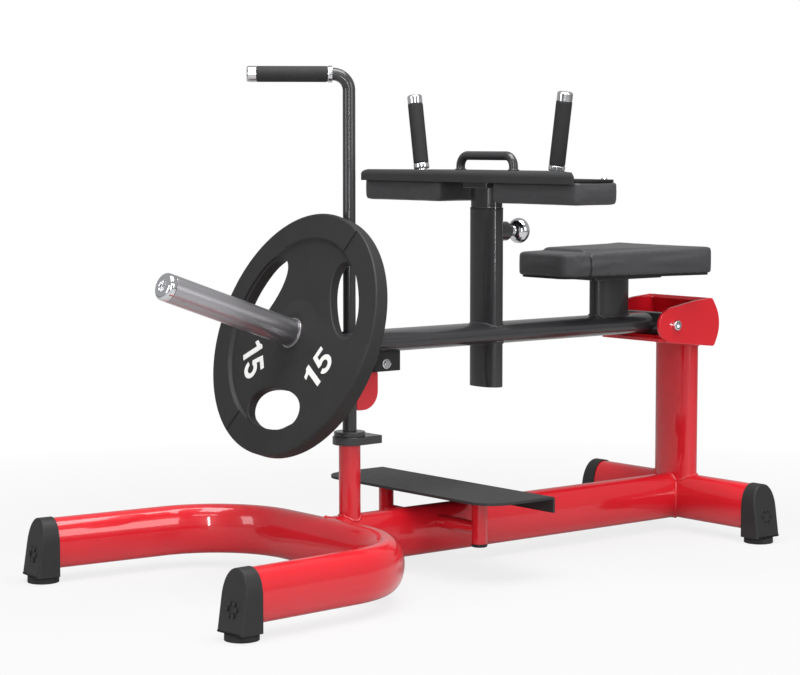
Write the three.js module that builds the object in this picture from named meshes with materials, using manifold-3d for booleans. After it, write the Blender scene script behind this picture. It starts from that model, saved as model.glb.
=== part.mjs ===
// Seated calf raise machine with a plate-loaded lever. Millimetres, +Z up.
// +X points to the open end of the base fork, +Y to the left of the person on the seat.
import * as THREE from 'three';
import { mergeVertices } from 'three/addons/utils/BufferGeometryUtils.js';
import Module from 'manifold-3d';

const wasm = await Module();
wasm.setup();

// Clearances
const seatGap = 0.3; // between faces that rest on each other or are welded together
const runningGap = 0.09; // around a shaft in its bush
const slideGap = 0.35; // around the knee tube in its liner
const plateGap = 0.6; // around the horn in the bore of the weight plate
const cutOver = 30; // how far a cut runs past the face that it opens

// Facets
const ovalSteps = 24;
const roundSteps = 18;
const fineSteps = 28;
const boltSteps = 12;
const hexSteps = 6;
const bendSteps = 6;
const cornerSteps = 4;
const handleSteps = 12;

// Base tubes: one oval section for the beam, the fork and the rear cross tube
const beamWidth = 60;
const beamHeight = 93.5;
const tubeWall = 3;
const ovalFullness = 2.2;
const rearPostX = -660;
const rearHalfSpan = 258;
const forkTipX = 690;
const forkTipHalfSpan = 316;
const forkFlare = THREE.MathUtils.degToRad(4.5);
const forkBendRadius = 175;
const forkMiddleX = 255;

// End caps and feet
const footHeight = 12;
const footRadius = 25;
const footEdge = 2;
const footStemRadius = 6;
const footStemHeight = 7;
const capFloor = 11;
const capSkin = 2.2;
const capDepth = 52;
const capEndWall = 6;
const capRound = 4;
const capDimpleRadius = 3;
const capDimpleDepth = 1.5;
const capDimpleRing = 8.5;
const capDimpleDrop = 14;
const capDimpleCount = 6;

// Rear post and the yoke on it
const rearPostWidth = 107;
const rearPostDepth = 50;
const yokeHalfWidth = 88.7;
const yokePlate = 7;
const pivotAhead = 96;
const pivotZ = 432.5;
const yokeNoseAhead = 17;
const yokeNoseRadius = 36;
const yokeShoulderBack = 52;
const yokeShoulderRise = 46.5;
const yokeTopBack = 107;
const yokeTopRise = 51;
const yokeBulgeBack = 137;
const yokeBulgeRise = 2;
const yokeHeelBack = 113;
const yokeHeelDrop = 48.5;
const yokeToeDrop = 35;
const yokeCornerRadius = 8;
const yokeShoulderRadius = 120;
const yokeBulgeRadius = 70;
const yokeFloorFront = 40;

// Pivot bolt, bushes and the barrel welded across the end of the lever
const axleRadius = 6;
const axleHeadRadius = 10;
const axleHeadHeight = 8;
const axleHeadEdge = 2.7;
const axleSocketRadius = 4.5;
const axleSocketDepth = 5;
const axleNutRadius = 10;
const axleNutHeight = 10;
const axleWasherRadius = 14;
const axleWasherHeight = 2.5;
const axleThreadOut = 4;
const barrelRadius = 24;
const barrelBore = 15;
const bushFlangeRadius = 21;
const bushFlange = 2;
const bushLength = 30;

// Lever: one flat oval tube, with the pivot at its rear end and the horn bracket at its front end
const leverWidth = 100;
const leverHeight = 41;
const leverZ = 434;
const leverEndX = 248;

// Seat, carried by the lever
const seatPostX = -463;
const seatPostDepth = 95;
const seatPostWidth = 50;
const seatPlateZ = 528;
const seatPlate = 6;
const seatPlateLength = 190;
const seatPlateWidth = 120;
const seatPlateCorner = 12;
const seatBoard = 11;
const seatRearX = -622;
const seatFrontX = -272;
const seatRearHalf = 136;
const seatFrontHalf = 74;
const seatRearCorner = 24;
const seatFrontCorner = 34;
const seatPadEdge = 36;
const seatCrown = 4;
const seatSeamX = -334;
const seatStep = 5;
const seatBoardInset = 5;

// Knee sleeve, knee tube and its pull pin
const kneeX = -135;
const sleeveWidth = 80;
const sleeveDepth = 42;
const sleeveBottomZ = 332;
const sleeveTopZ = 672;
const linerWall = 2.2;
const linerLip = 3;
const linerLength = 110;
const kneeTubeBottomZ = 350;
const kneeTubeWall = 2.5;
const kneeTravel = 150;
const kneeHolePitch = 25;
const pinZ = 629;
const pinRadius = 5;
const pinTipEdge = 0.5;
const pinTipLength = 2.5;
const pinCollarRadius = 8;
const pinCollar = 4;
const pinPull = 12;
const housingRadius = 12;
const housingBore = 9;
const housingLength = 38;
const housingCap = 4;
const knobRadius = 21;
const knobFlat = 5;
const knobNeckRadius = 11;
const springWire = 0.75;
const springTurns = 7;
const springSegments = 8;
const springSides = 5;
const knobSteps = 9;

// Knee pads, boards and the plate over them
const padInnerY = 75.3;
const padOuterY = 309;
const padRearX = -186;
const padFrontX = -78;
const padCorner = 14;
const padEdge = 35;
const padDraw = 28;
const padCrown = 7;
const kneeBoard = 14.5;
const kneeBoardInset = 4;
const boardBoltRadius = 6;
const boardBoltHeight = 3;
const topPlateZ = 746;
const topPlate = 4;
const topPlateFrontX = -70;
const topPlateRearX = -194;
const topPlateFrontHalf = 307;
const topPlateRearHalf = 141;
const topPlateCorner = 12;
const topPlateLip = 22;
const topPlateLipEdge = 1.3;
const mountWidth = 104;
const mountDepth = 76;
const mountPlate = 5;
const mountCorner = 8;
const mountCollarWall = 4;
const mountCollarBottomZ = 684;

// Hand grips and the small handle on the knee plate
const gripY = 194.5;
const gripSplay = THREE.MathUtils.degToRad(9);
const gripRodRadius = 11;
const gripRodLength = 142;
const gripRingRadius = 16;
const gripRing = 7;
const gripRingLift = 8;
const gripFootRadius = 17;
const gripFoot = 4;
const gripSleeveRadius = 15;
const gripCap = 18;
const gripCapRadius = 14;
const gripCapRound = 3;
const handleHalf = 76.5;
const handleRise = 27;
const handleRadius = 8;
const handleBend = 18;
const handleFootRadius = 11;
const handleFoot = 3;

// Foot plate and its two brackets
const stepTopZ = 152;
const stepSheet = 5;
const stepRearX = -85;
const stepFrontX = 78;
const stepHalf = 250;
const stepFrontCorner = 55;
const stepRearCorner = 4;
const stepLip = 30;
const stepLipEdge = 1.7;
const stepLegX = 1;
const stepLegY = 138;
const stepLegRadius = 12.5;
const stepLegBottomZ = 53;
const stepStubZ = 87;

// Safety post, bar and catch
const safetyX = 198;
const safetyPostRadius = 20;
const safetyPostTopZ = 254;
const topTab = 8;
const topTabHalf = 28;
const topTabBack = 65;
const collarRadius = 29;
const collarHeight = 9;
const barRadius = 11;
const barSleeveRadius = 13;
const barSleeveTopZ = 396;
const pintleDepth = 60;
const pintleRadius = 11;
const bushShelf = 3;
const barTopZ = 923;
const barBend = 40;
const barReach = 178;
const barAside = THREE.MathUtils.degToRad(-35);
const barGripLength = 132;
const barGripRadius = 14.5;
const barGripCap = 12;
const barRing = 5;
const barRingRadius = 15.5;
const catchTopZ = 378;
const catchHeight = 70;
const catchReach = 49;
const catchThick = 12;
const catchHeelRadius = 34;
const catchCorner = 5;
const stopRearX = 93;
const stopFrontX = 155;
const stopHalf = 20;
const stopCorner = 3;
const stopBoltX = 128;
const stopBoltRise = 14;
const stopBoltRadius = 5;
const stopBoltHead = 8;
const stopBoltHeadHeight = 6;
const slotHalf = 17;
const slotBehind = 8;
const slotAhead = 22;
const slotCorner = 3;

// Weight horn, its bracket and the plate on it
const hornTilt = THREE.MathUtils.degToRad(19.25);
const plateFaceX = 331;
const plateFaceZ = 459.5;
const hornRadius = 25;
const hornWall = 4;
const hornAhead = 290;
const hornRoot = 69;
const hornCapLength = 14;
const hornCapPlug = 16;
const hornCapRecess = 9;
const hornCapRecessDepth = 6;
const flangeRadius = 50;
const flange = 8;
const socketRadius = 32;
const endPlate = 8;
const endPlateRim = 3;
const plateRadius = 226;
const plateThick = 31;
const plateEdge = 5;
const plateRimInner = 180;
const plateRecess = 6;
const plateSlope = 5;
const plateHubRadius = 38;
const plateHubSlope = 26;
const windowInner = 103;
const windowOuter = 177;
const windowHalfTurn = THREE.MathUtils.degToRad(29);
const windowFullness = 2.7;
const windowSteps = 24;
const windowCount = 3;
const rimRelief = 1.6;
const rimReliefOuter = 213;
const rimReliefHalfTurn = THREE.MathUtils.degToRad(31);

// Finishes
const red = () => new THREE.MeshStandardMaterial({ color: 0xc4122a, roughness: 0.28, metalness: 0.1 });
const black = () => new THREE.MeshStandardMaterial({ color: 0x1b1c1e, roughness: 0.38, metalness: 0.2 });
const plastic = () => new THREE.MeshStandardMaterial({ color: 0x161719, roughness: 0.6, metalness: 0 });
const rubber = () => new THREE.MeshStandardMaterial({ color: 0x131414, roughness: 0.85, metalness: 0 });
const leather = () => new THREE.MeshStandardMaterial({ color: 0x242527, roughness: 0.62, metalness: 0 });
const wood = () => new THREE.MeshStandardMaterial({ color: 0x1a1a1a, roughness: 0.7, metalness: 0 });
const chrome = () => new THREE.MeshStandardMaterial({ color: 0xc9cbd0, roughness: 0.12, metalness: 1 });
const steel = () => new THREE.MeshStandardMaterial({ color: 0x8f9196, roughness: 0.3, metalness: 1 });
const bronze = () => new THREE.MeshStandardMaterial({ color: 0xb08a4a, roughness: 0.4, metalness: 1 });

// Placing
const axisX = new THREE.Vector3(1, 0, 0);
const axisY = new THREE.Vector3(0, 1, 0);
const axisZ = new THREE.Vector3(0, 0, 1);

// Moves a shape's own X, Y and Z onto the three given directions, at a place.
function frame(x, y, z, right, up, out) {
  return new THREE.Matrix4().makeBasis(right, up, out).setPosition(x, y, z);
}
const upright = (x, y, z) => frame(x, y, z, axisX, axisY, axisZ);
const alongX = (x, y, z) => frame(x, y, z, axisY, axisZ, axisX);
const acrossY = (x, y, z) => frame(x, y, z, axisX, axisZ, axisY.clone().negate());

// Puts a shape's own Z along a direction.
function pointing(place, direction) {
  const turn = new THREE.Quaternion().setFromUnitVectors(axisZ, direction.clone().normalize());
  return new THREE.Matrix4().makeRotationFromQuaternion(turn).setPosition(place.x, place.y, place.z);
}

// Solids
function facesOutward(positions, faces) {
  let volume = 0;
  const corner = [new THREE.Vector3(), new THREE.Vector3(), new THREE.Vector3()];
  for (let face = 0; face < faces.length; face += 3) {
    corner.forEach((point, index) => point.fromArray(positions, 3 * faces[face + index]));
    volume += corner[0].dot(corner[1].clone().cross(corner[2]));
  }
  return volume > 0;
}

function solid(geometry, place = new THREE.Matrix4()) {
  const bare = geometry.clone();
  bare.deleteAttribute('normal');
  bare.deleteAttribute('uv');
  const merged = mergeVertices(bare);
  merged.applyMatrix4(place);
  const vertProperties = new Float32Array(merged.attributes.position.array);
  const triVerts = new Uint32Array(merged.index.array);
  if (!facesOutward(vertProperties, triVerts)) {
    for (let face = 0; face < triVerts.length; face += 3) {
      [triVerts[face], triVerts[face + 1]] = [triVerts[face + 1], triVerts[face]];
    }
  }
  return new wasm.Manifold(new wasm.Mesh({ numProp: 3, vertProperties, triVerts }));
}

const joined = (solids) => solids.reduce((whole, next) => whole.add(next));
const cut = (body, tools) => tools.reduce((whole, tool) => whole.subtract(tool), body);

function geometryOf(body) {
  const mesh = body.getMesh();
  const geometry = new THREE.BufferGeometry();
  geometry.setAttribute('position', new THREE.BufferAttribute(mesh.vertProperties, 3));
  geometry.setIndex(new THREE.BufferAttribute(mesh.triVerts, 1));
  geometry.computeVertexNormals();
  return geometry;
}

function part(group, name, body, finish, place = new THREE.Matrix4()) {
  const mesh = new THREE.Mesh(geometryOf(body), finish);
  mesh.name = name;
  place.decompose(mesh.position, mesh.quaternion, mesh.scale);
  group.add(mesh);
  return mesh;
}

// Outlines
function ovalPoints(width, height, fullness = ovalFullness, steps = ovalSteps) {
  const points = [];
  for (let step = 0; step < steps; step += 1) {
    const turn = (2 * Math.PI * step) / steps;
    const across = Math.cos(turn);
    const along = Math.sin(turn);
    points.push(new THREE.Vector2(
      (width / 2) * Math.sign(across) * Math.abs(across) ** (2 / fullness),
      (height / 2) * Math.sign(along) * Math.abs(along) ** (2 / fullness),
    ));
  }
  return points;
}

// A closed outline through corners [x, y, radius], each rounded by its own radius.
function roundedPoints(corners, steps = cornerSteps) {
  const points = [];
  corners.forEach(([x, y, radius], index) => {
    const before = corners[(index + corners.length - 1) % corners.length];
    const after = corners[(index + 1) % corners.length];
    const here = new THREE.Vector2(x, y);
    const back = new THREE.Vector2(before[0] - x, before[1] - y).normalize();
    const onward = new THREE.Vector2(after[0] - x, after[1] - y).normalize();
    const half = Math.acos(back.dot(onward)) / 2;
    const middle = back.clone().add(onward).normalize();
    const centre = here.clone().addScaledVector(middle, radius / Math.sin(half));
    const start = here.clone().addScaledVector(back, radius / Math.tan(half)).sub(centre);
    const swing = Math.sign(onward.cross(back)) * (Math.PI - 2 * half);
    for (let step = 0; step <= steps; step += 1) {
      points.push(start.clone().rotateAround(new THREE.Vector2(), (swing * step) / steps).add(centre));
    }
  });
  return points;
}

const rectangle = (width, height, radius) => roundedPoints([
  [-width / 2, -height / 2, radius],
  [width / 2, -height / 2, radius],
  [width / 2, height / 2, radius],
  [-width / 2, height / 2, radius],
]);

// Solids from outlines
function prism(points, length, place, hole) {
  const shape = new THREE.Shape(points);
  if (hole) shape.holes.push(new THREE.Path(hole));
  return solid(new THREE.ExtrudeGeometry(shape, { depth: length, bevelEnabled: false }), place);
}

function ovalTube(width, height, wall, length, place) {
  const bore = ovalPoints(width - 2 * wall, height - 2 * wall);
  return prism(ovalPoints(width, height), length, place, bore);
}

// An oval bar that takes away a tube's room and the weld gap around it.
function ovalRoom(width, height, length, place, gap = seatGap) {
  return prism(ovalPoints(width + 2 * gap, height + 2 * gap), length, place);
}

function rod(radius, length, place, steps = roundSteps) {
  const cylinder = new THREE.CylinderGeometry(radius, radius, length, steps);
  cylinder.rotateX(Math.PI / 2).translate(0, 0, length / 2);
  return solid(cylinder, place);
}

function block(width, depth, height, place) {
  return solid(new THREE.BoxGeometry(width, depth, height), place);
}

// Turns a profile of [radius, height] pairs round its own Z.
function turned(profile, place, steps = roundSteps) {
  const points = profile.map(([radius, height]) => new THREE.Vector2(radius, height));
  const lathe = new THREE.LatheGeometry(points, steps);
  return solid(lathe.rotateX(Math.PI / 2), place);
}

const ring = (outer, inner, low, high) => (
  [[inner, low], [outer, low], [outer, high], [inner, high], [inner, low]]);

// Arcs and bent tubes
class BendCurve extends THREE.Curve {
  constructor(centre, spoke, onward, angle) {
    super();
    Object.assign(this, { centre, spoke, onward, angle });
  }

  getPoint(share, target = new THREE.Vector3()) {
    const turn = this.angle * share;
    return target.copy(this.centre).addScaledVector(this.spoke, Math.cos(turn))
      .addScaledVector(this.onward, Math.sin(turn));
  }

  getTangent(share, target = new THREE.Vector3()) {
    const turn = this.angle * share;
    return target.copy(this.onward).multiplyScalar(Math.cos(turn))
      .addScaledVector(this.spoke, -Math.sin(turn)).normalize();
  }
}

// A path of straight stretches and bends that takes one step on each straight and several round each bend.
class BentPath extends THREE.Curve {
  constructor(pieces) {
    super();
    this.stations = [];
    pieces.forEach((piece, index) => {
      const steps = piece.isLineCurve3 ? 1 : bendSteps;
      for (let step = index ? 1 : 0; step <= steps; step += 1) {
        const share = step / steps;
        this.stations.push({ place: piece.getPoint(share), heading: piece.getTangent(share) });
      }
    });
    this.steps = this.stations.length - 1;
  }

  stationAt(share) {
    return this.stations[Math.round(share * this.steps)];
  }

  getPointAt(share, target = new THREE.Vector3()) {
    return target.copy(this.stationAt(share).place);
  }

  getTangentAt(share, target = new THREE.Vector3()) {
    return target.copy(this.stationAt(share).heading);
  }
}

function swept(points, path, place, hole) {
  const shape = new THREE.Shape(points);
  if (hole) shape.holes.push(new THREE.Path(hole));
  const options = { steps: path.steps, extrudePath: path, bevelEnabled: false };
  return solid(new THREE.ExtrudeGeometry(shape, options), place);
}

const circle = (radius, steps = roundSteps) => ovalPoints(2 * radius, 2 * radius, 2, steps);
const straight = (from, to) => new THREE.LineCurve3(from, to);

// Cushions: rings that draw in at the base and round over at the edge, under a crowned top.
const cushionRingShares = [[0, 0.1], [0.14, 0], [0.66, 0], [0.86, 0.1], [0.97, 0.28], [1, 0.55]];
const cushionCrownShares = [[0.72, 0.45], [0.45, 0.78], [0.2, 0.96]];

function inset(points, distance) {
  return points.map((point, index) => {
    const before = points[(index + points.length - 1) % points.length];
    const after = points[(index + 1) % points.length];
    const along = after.clone().sub(before).normalize();
    return new THREE.Vector2(point.x - along.y * distance, point.y + along.x * distance);
  });
}

const middleOf = (points) => (
  points.reduce((sum, point) => sum.add(point), new THREE.Vector3()).divideScalar(points.length));

function cushion(points, edge, crown, draw, place) {
  const rings = cushionRingShares.map(([rise, inward]) => (
    inset(points, inward * draw).map((point) => new THREE.Vector3(point.x, point.y, rise * edge))));
  const lip = rings.at(-1);
  const centre = middleOf(lip);
  cushionCrownShares.forEach(([reach, rise]) => {
    rings.push(lip.map((point) => centre.clone().lerp(point, reach).setZ(edge + rise * crown)));
  });
  const places = [...rings.flat(), middleOf(rings[0]), centre.clone().setZ(edge + crown)];
  const count = points.length;
  const faces = [];
  for (let index = 0; index < count; index += 1) {
    const next = (index + 1) % count;
    for (let level = 0; level < rings.length - 1; level += 1) {
      const low = level * count;
      const high = low + count;
      faces.push(low + index, low + next, high + next, low + index, high + next, high + index);
    }
    const last = (rings.length - 1) * count;
    faces.push(places.length - 2, next, index);
    faces.push(places.length - 1, last + index, last + next);
  }
  const geometry = new THREE.BufferGeometry().setFromPoints(places);
  geometry.setIndex(faces);
  return solid(geometry, place);
}

// Places that follow from the sizes above
const beamZ = footHeight + capFloor + beamHeight / 2;
const pivotX = rearPostX + pivotAhead;
const forkBendEndX = forkMiddleX + forkBendRadius * (1 - Math.sin(forkFlare));
const forkArmSpread = (forkTipX - forkBendEndX) * Math.tan(forkFlare);
const forkMiddleHalf = forkTipHalfSpan - forkBendRadius * Math.cos(forkFlare) - forkArmSpread;
const forkHeading = (side) => new THREE.Vector3(Math.cos(forkFlare), side * Math.sin(forkFlare), 0);
const hornHeading = new THREE.Vector3(Math.cos(hornTilt), 0, Math.sin(hornTilt));
const hornUp = new THREE.Vector3(-Math.sin(hornTilt), 0, Math.cos(hornTilt));
const plateFace = new THREE.Vector3(plateFaceX, 0, plateFaceZ);
const onHorn = (distance) => {
  const place = plateFace.clone().addScaledVector(hornHeading, distance);
  return frame(place.x, place.y, place.z, axisY, hornUp, hornHeading);
};
const padTopZ = topPlateZ - topPlate - seatGap - kneeBoard - seatGap;
const linerWidth = sleeveWidth - 2 * tubeWall - 2 * seatGap;
const linerDepth = sleeveDepth - 2 * tubeWall - 2 * seatGap;
const kneeTubeWidth = linerWidth - 2 * linerWall - 2 * slideGap;
const kneeTubeDepth = linerDepth - 2 * linerWall - 2 * slideGap;

const beamLength = forkMiddleX - rearPostX;
const onBeam = alongX(rearPostX, 0, beamZ);
const beamRoom = () => ovalRoom(beamWidth, beamHeight, beamLength, onBeam);
const leverRoom = (gap) => ovalRoom(
  leverWidth, leverHeight, leverEndX - pivotX + 2 * cutOver, alongX(pivotX - cutOver, 0, leverZ), gap);

// Base
function forkPath(inside) {
  const bend = (side) => new BendCurve(
    new THREE.Vector3(forkMiddleX + forkBendRadius, side * forkMiddleHalf, beamZ),
    new THREE.Vector3(-forkBendRadius, 0, 0),
    new THREE.Vector3(0, side * forkBendRadius, 0),
    Math.PI / 2 - forkFlare,
  );
  const tip = (side) => new THREE.Vector3(forkTipX, side * forkTipHalfSpan, beamZ)
    .addScaledVector(forkHeading(side), -inside);
  const left = bend(1);
  const right = bend(-1);
  const rightBack = new BendCurve(right.centre, right.getPoint(1).sub(right.centre),
    right.getTangent(1).multiplyScalar(-forkBendRadius), right.angle);
  return new BentPath([
    straight(tip(-1), right.getPoint(1)),
    rightBack,
    straight(right.getPoint(0), left.getPoint(0)),
    left,
    straight(left.getPoint(1), tip(1)),
  ]);
}

function capSolid() {
  const width = beamWidth + 2 * capSkin;
  const top = ovalPoints(width, beamHeight + 2 * capSkin).slice(0, ovalSteps / 2 + 1);
  const floor = footHeight - beamZ;
  const outline = [...top, new THREE.Vector2(-width / 2, floor), new THREE.Vector2(width / 2, floor)];
  const shell = solid(new THREE.ExtrudeGeometry(new THREE.Shape(outline), {
    depth: capDepth - capRound,
    bevelThickness: capRound,
    bevelSize: capRound,
    bevelOffset: -capRound,
    bevelSegments: 3,
  }));
  const trim = block(3 * width, 3 * beamHeight, 2 * capRound, upright(0, 0, -capRound));
  const socket = ovalRoom(beamWidth, beamHeight, capDepth - capEndWall + cutOver, upright(0, 0, -cutOver));
  const stem = rod(footStemRadius + seatGap, footStemHeight + cutOver, frame(
    0, floor + footStemHeight + seatGap, capDepth / 2, axisX, axisZ, axisY.clone().negate()));
  const dimples = [];
  for (let index = 0; index < capDimpleCount; index += 1) {
    const turn = (2 * Math.PI * index) / capDimpleCount;
    dimples.push(rod(capDimpleRadius, cutOver, upright(
      capDimpleRing * Math.cos(turn),
      capDimpleRing * Math.sin(turn) - capDimpleDrop,
      capDepth - capDimpleDepth,
    ), hexSteps));
  }
  return cut(shell, [trim, socket, stem, ...dimples]);
}

function footSolid() {
  const top = footHeight - seatGap;
  return turned([
    [0, 0],
    [footRadius - footEdge, 0],
    [footRadius, footEdge],
    [footRadius, top],
    [footStemRadius, top],
    [footStemRadius, top + footStemHeight],
    [0, top + footStemHeight],
  ]);
}

// The four tube ends: the cap's outer face and the way it looks.
const tubeEnds = [
  { name: 'front_left', x: forkTipX, y: forkTipHalfSpan, heading: forkHeading(1) },
  { name: 'front_right', x: forkTipX, y: -forkTipHalfSpan, heading: forkHeading(-1) },
  { name: 'rear_left', x: rearPostX, y: rearHalfSpan, heading: axisY.clone() },
  { name: 'rear_right', x: rearPostX, y: -rearHalfSpan, heading: axisY.clone().negate() },
];

function addBase(group) {
  const inside = capEndWall + seatGap;
  const section = ovalPoints(beamHeight, beamWidth);
  const bore = ovalPoints(beamHeight - 2 * tubeWall, beamWidth - 2 * tubeWall);
  part(group, 'front_fork', swept(section, forkPath(inside), undefined, bore), red());

  const crossLength = 2 * (rearHalfSpan - inside);
  const onCross = acrossY(rearPostX, crossLength / 2, beamZ);
  const cross = ovalTube(beamWidth, beamHeight, tubeWall, crossLength, onCross);
  part(group, 'rear_cross_tube', cross, red());

  const crossRoom = ovalRoom(beamWidth, beamHeight, crossLength, onCross);
  const onFork = acrossY(forkMiddleX, forkMiddleHalf, beamZ);
  const forkRoom = ovalRoom(beamWidth, beamHeight, 2 * forkMiddleHalf, onFork);
  const beam = ovalTube(beamWidth, beamHeight, tubeWall, beamLength, onBeam);
  part(group, 'main_beam', cut(beam, [crossRoom, forkRoom]), red());

  const floorRoom = yokeFloorSolid(2 * yokeHalfWidth, seatGap, 3 * cutOver, cutOver);
  const onPost = upright(rearPostX, 0, beamZ);
  const post = ovalTube(rearPostDepth, rearPostWidth, tubeWall, pivotZ - beamZ, onPost);
  part(group, 'rear_post', cut(post, [crossRoom, beamRoom(), floorRoom]), red());

  tubeEnds.forEach((end) => {
    const side = new THREE.Vector3().crossVectors(axisZ, end.heading);
    const face = new THREE.Vector3(end.x, end.y, beamZ).addScaledVector(end.heading, -capDepth);
    const foot = new THREE.Vector3(end.x, end.y, 0).addScaledVector(end.heading, -capDepth / 2);
    const onEnd = frame(face.x, face.y, face.z, side, axisZ, end.heading);
    part(group, `cap_${end.name}`, capSolid(), plastic(), onEnd);
    part(group, `foot_${end.name}`, footSolid(), rubber(), upright(foot.x, foot.y, 0));
  });
}

// Yoke
const yokeCorners = [
  [pivotX - yokeHeelBack, pivotZ - yokeHeelDrop, yokeCornerRadius],
  [pivotX + yokeNoseAhead, pivotZ - yokeToeDrop, yokeNoseRadius],
  [pivotX + yokeNoseAhead + yokeNoseRadius, pivotZ - yokeToeDrop / 2, yokeNoseRadius / 2],
  [pivotX + yokeNoseAhead + yokeNoseRadius, pivotZ + yokeToeDrop / 2, yokeNoseRadius / 2],
  [pivotX + yokeNoseAhead, pivotZ + yokeToeDrop, yokeNoseRadius],
  [pivotX - yokeShoulderBack, pivotZ + yokeShoulderRise, yokeShoulderRadius],
  [pivotX - yokeTopBack, pivotZ + yokeTopRise, yokeCornerRadius],
  [pivotX - yokeBulgeBack, pivotZ + yokeBulgeRise, yokeBulgeRadius],
];
const yokeSlope = Math.atan2(yokeHeelDrop - yokeToeDrop, yokeHeelBack + yokeNoseAhead);
const alongFloor = new THREE.Vector3(Math.cos(yokeSlope), 0, Math.sin(yokeSlope));
const offFloor = new THREE.Vector3(-Math.sin(yokeSlope), 0, Math.cos(yokeSlope));

// The slanted floor between the side plates, or the room over its underside when it is thick.
function yokeFloorSolid(width, gap, thick, over = 0) {
  const heel = new THREE.Vector3(pivotX - yokeHeelBack, 0, pivotZ - yokeHeelDrop);
  const length = yokeHeelBack + yokeFloorFront - 2 * yokePlate;
  const centre = heel.addScaledVector(alongFloor, 2 * yokePlate + length / 2)
    .addScaledVector(offFloor, (thick - gap) / 2);
  const place = frame(centre.x, centre.y, centre.z, alongFloor, axisY, offFloor);
  return block(length + 2 * over, width, thick + gap, place);
}

function addYoke(group) {
  const outline = roundedPoints(yokeCorners);
  const hole = rod(axleRadius + seatGap, 2 * yokeHalfWidth + cutOver, acrossY(
    pivotX, yokeHalfWidth + cutOver / 2, pivotZ));
  const side = (y) => cut(prism(outline, yokePlate, acrossY(0, y, 0)), [hole]);
  part(group, 'yoke_side_left', side(yokeHalfWidth), red());
  part(group, 'yoke_side_right', side(yokePlate - yokeHalfWidth), red());

  const innerWidth = 2 * (yokeHalfWidth - yokePlate - seatGap);
  const whole = prism(outline, innerWidth, acrossY(0, innerWidth / 2, 0));
  const cutWidth = innerWidth + cutOver;
  const inner = prism(inset(outline, yokePlate), cutWidth, acrossY(0, cutWidth / 2, 0));
  const frontX = pivotX - yokeTopBack + yokePlate / 2;
  const front = block(3 * yokeBulgeBack, cutWidth, 3 * yokeBulgeBack, upright(
    frontX + 1.5 * yokeBulgeBack, 0, pivotZ));
  part(group, 'yoke_back_plate', cut(whole, [inner, front]), red());

  const floor = yokeFloorSolid(innerWidth, 0, yokePlate);
  part(group, 'yoke_base_plate', floor, red());
}

function addPivot(group) {
  const outer = yokeHalfWidth + seatGap;
  const shaft = 2 * outer + axleWasherHeight + axleNutHeight + axleThreadOut;
  const bolt = turned([
    [0, 0],
    [axleRadius, 0],
    [axleRadius, shaft],
    [axleHeadRadius, shaft],
    [axleHeadRadius, shaft + axleHeadHeight / 2],
    [axleHeadRadius - axleHeadEdge, shaft + axleHeadHeight],
    [0, shaft + axleHeadHeight],
  ], undefined, fineSteps);
  const socketFloor = shaft + axleHeadHeight - axleSocketDepth;
  const socket = rod(axleSocketRadius, cutOver, upright(0, 0, socketFloor), hexSteps);
  const far = outer - shaft;
  part(group, 'pivot_axle', cut(bolt, [socket]), chrome(), frame(
    pivotX, far, pivotZ, axisX, axisZ.clone().negate(), axisY));

  const washer = rod(axleWasherRadius, axleWasherHeight);
  const nutTop = axleNutHeight + axleWasherHeight;
  const nut = rod(axleNutRadius, nutTop, undefined, hexSteps);
  const bore = rod(axleRadius + seatGap, nutTop + 2 * cutOver, upright(0, 0, -cutOver));
  part(group, 'pivot_nut', cut(joined([washer, nut]), [bore]), steel(), acrossY(pivotX, -outer, pivotZ));
}

// Lever and what is welded to it
const barrelHalf = yokeHalfWidth - yokePlate - bushFlange - 2 * seatGap;

function addLever(group) {
  const length = leverEndX - pivotX;
  const tube = ovalTube(leverWidth, leverHeight, tubeWall, length, alongX(pivotX, 0, leverZ));
  const barrelPlace = acrossY(pivotX, barrelHalf, pivotZ);
  const barrelRoom = rod(barrelRadius + seatGap, 2 * barrelHalf, barrelPlace, fineSteps);
  const sleeveRoom = ovalRoom(sleeveDepth, sleeveWidth, 2 * leverHeight, upright(
    kneeX, 0, leverZ - leverHeight));
  const slotLength = slotBehind + slotAhead + 2 * barRadius;
  const slot = prism(rectangle(slotLength, 2 * slotHalf, slotCorner), 2 * leverHeight, upright(
    safetyX - barRadius - slotBehind + slotLength / 2, 0, leverZ - leverHeight));
  part(group, 'lever_tube', cut(tube, [barrelRoom, sleeveRoom, slot]), black());

  const barrel = turned(ring(barrelRadius, barrelBore, -barrelHalf, barrelHalf), undefined, fineSteps);
  part(group, 'pivot_barrel', barrel, black(), acrossY(pivotX, 0, pivotZ));

  const bush = turned([
    [axleRadius + runningGap, 0],
    [bushFlangeRadius, 0],
    [bushFlangeRadius, bushFlange],
    [barrelBore - seatGap, bushFlange],
    [barrelBore - seatGap, bushFlange + bushLength],
    [axleRadius + runningGap, bushFlange + bushLength],
    [axleRadius + runningGap, 0],
  ], undefined, fineSteps);
  const bushY = barrelHalf + seatGap + bushFlange;
  part(group, 'pivot_bush_left', bush, bronze(), acrossY(pivotX, bushY, pivotZ));
  part(group, 'pivot_bush_right', bush, bronze(), frame(
    pivotX, -bushY, pivotZ, axisX, axisZ.clone().negate(), axisY));
}

// Seat
const seatCorners = (inward) => {
  const front = seatFrontX - inward;
  const rear = seatRearX + inward;
  return [
    [rear, -seatRearHalf + inward, seatRearCorner],
    [front, -seatFrontHalf + inward, seatFrontCorner],
    [front, seatFrontHalf - inward, seatFrontCorner],
    [rear, seatRearHalf - inward, seatRearCorner],
  ];
};

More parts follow.
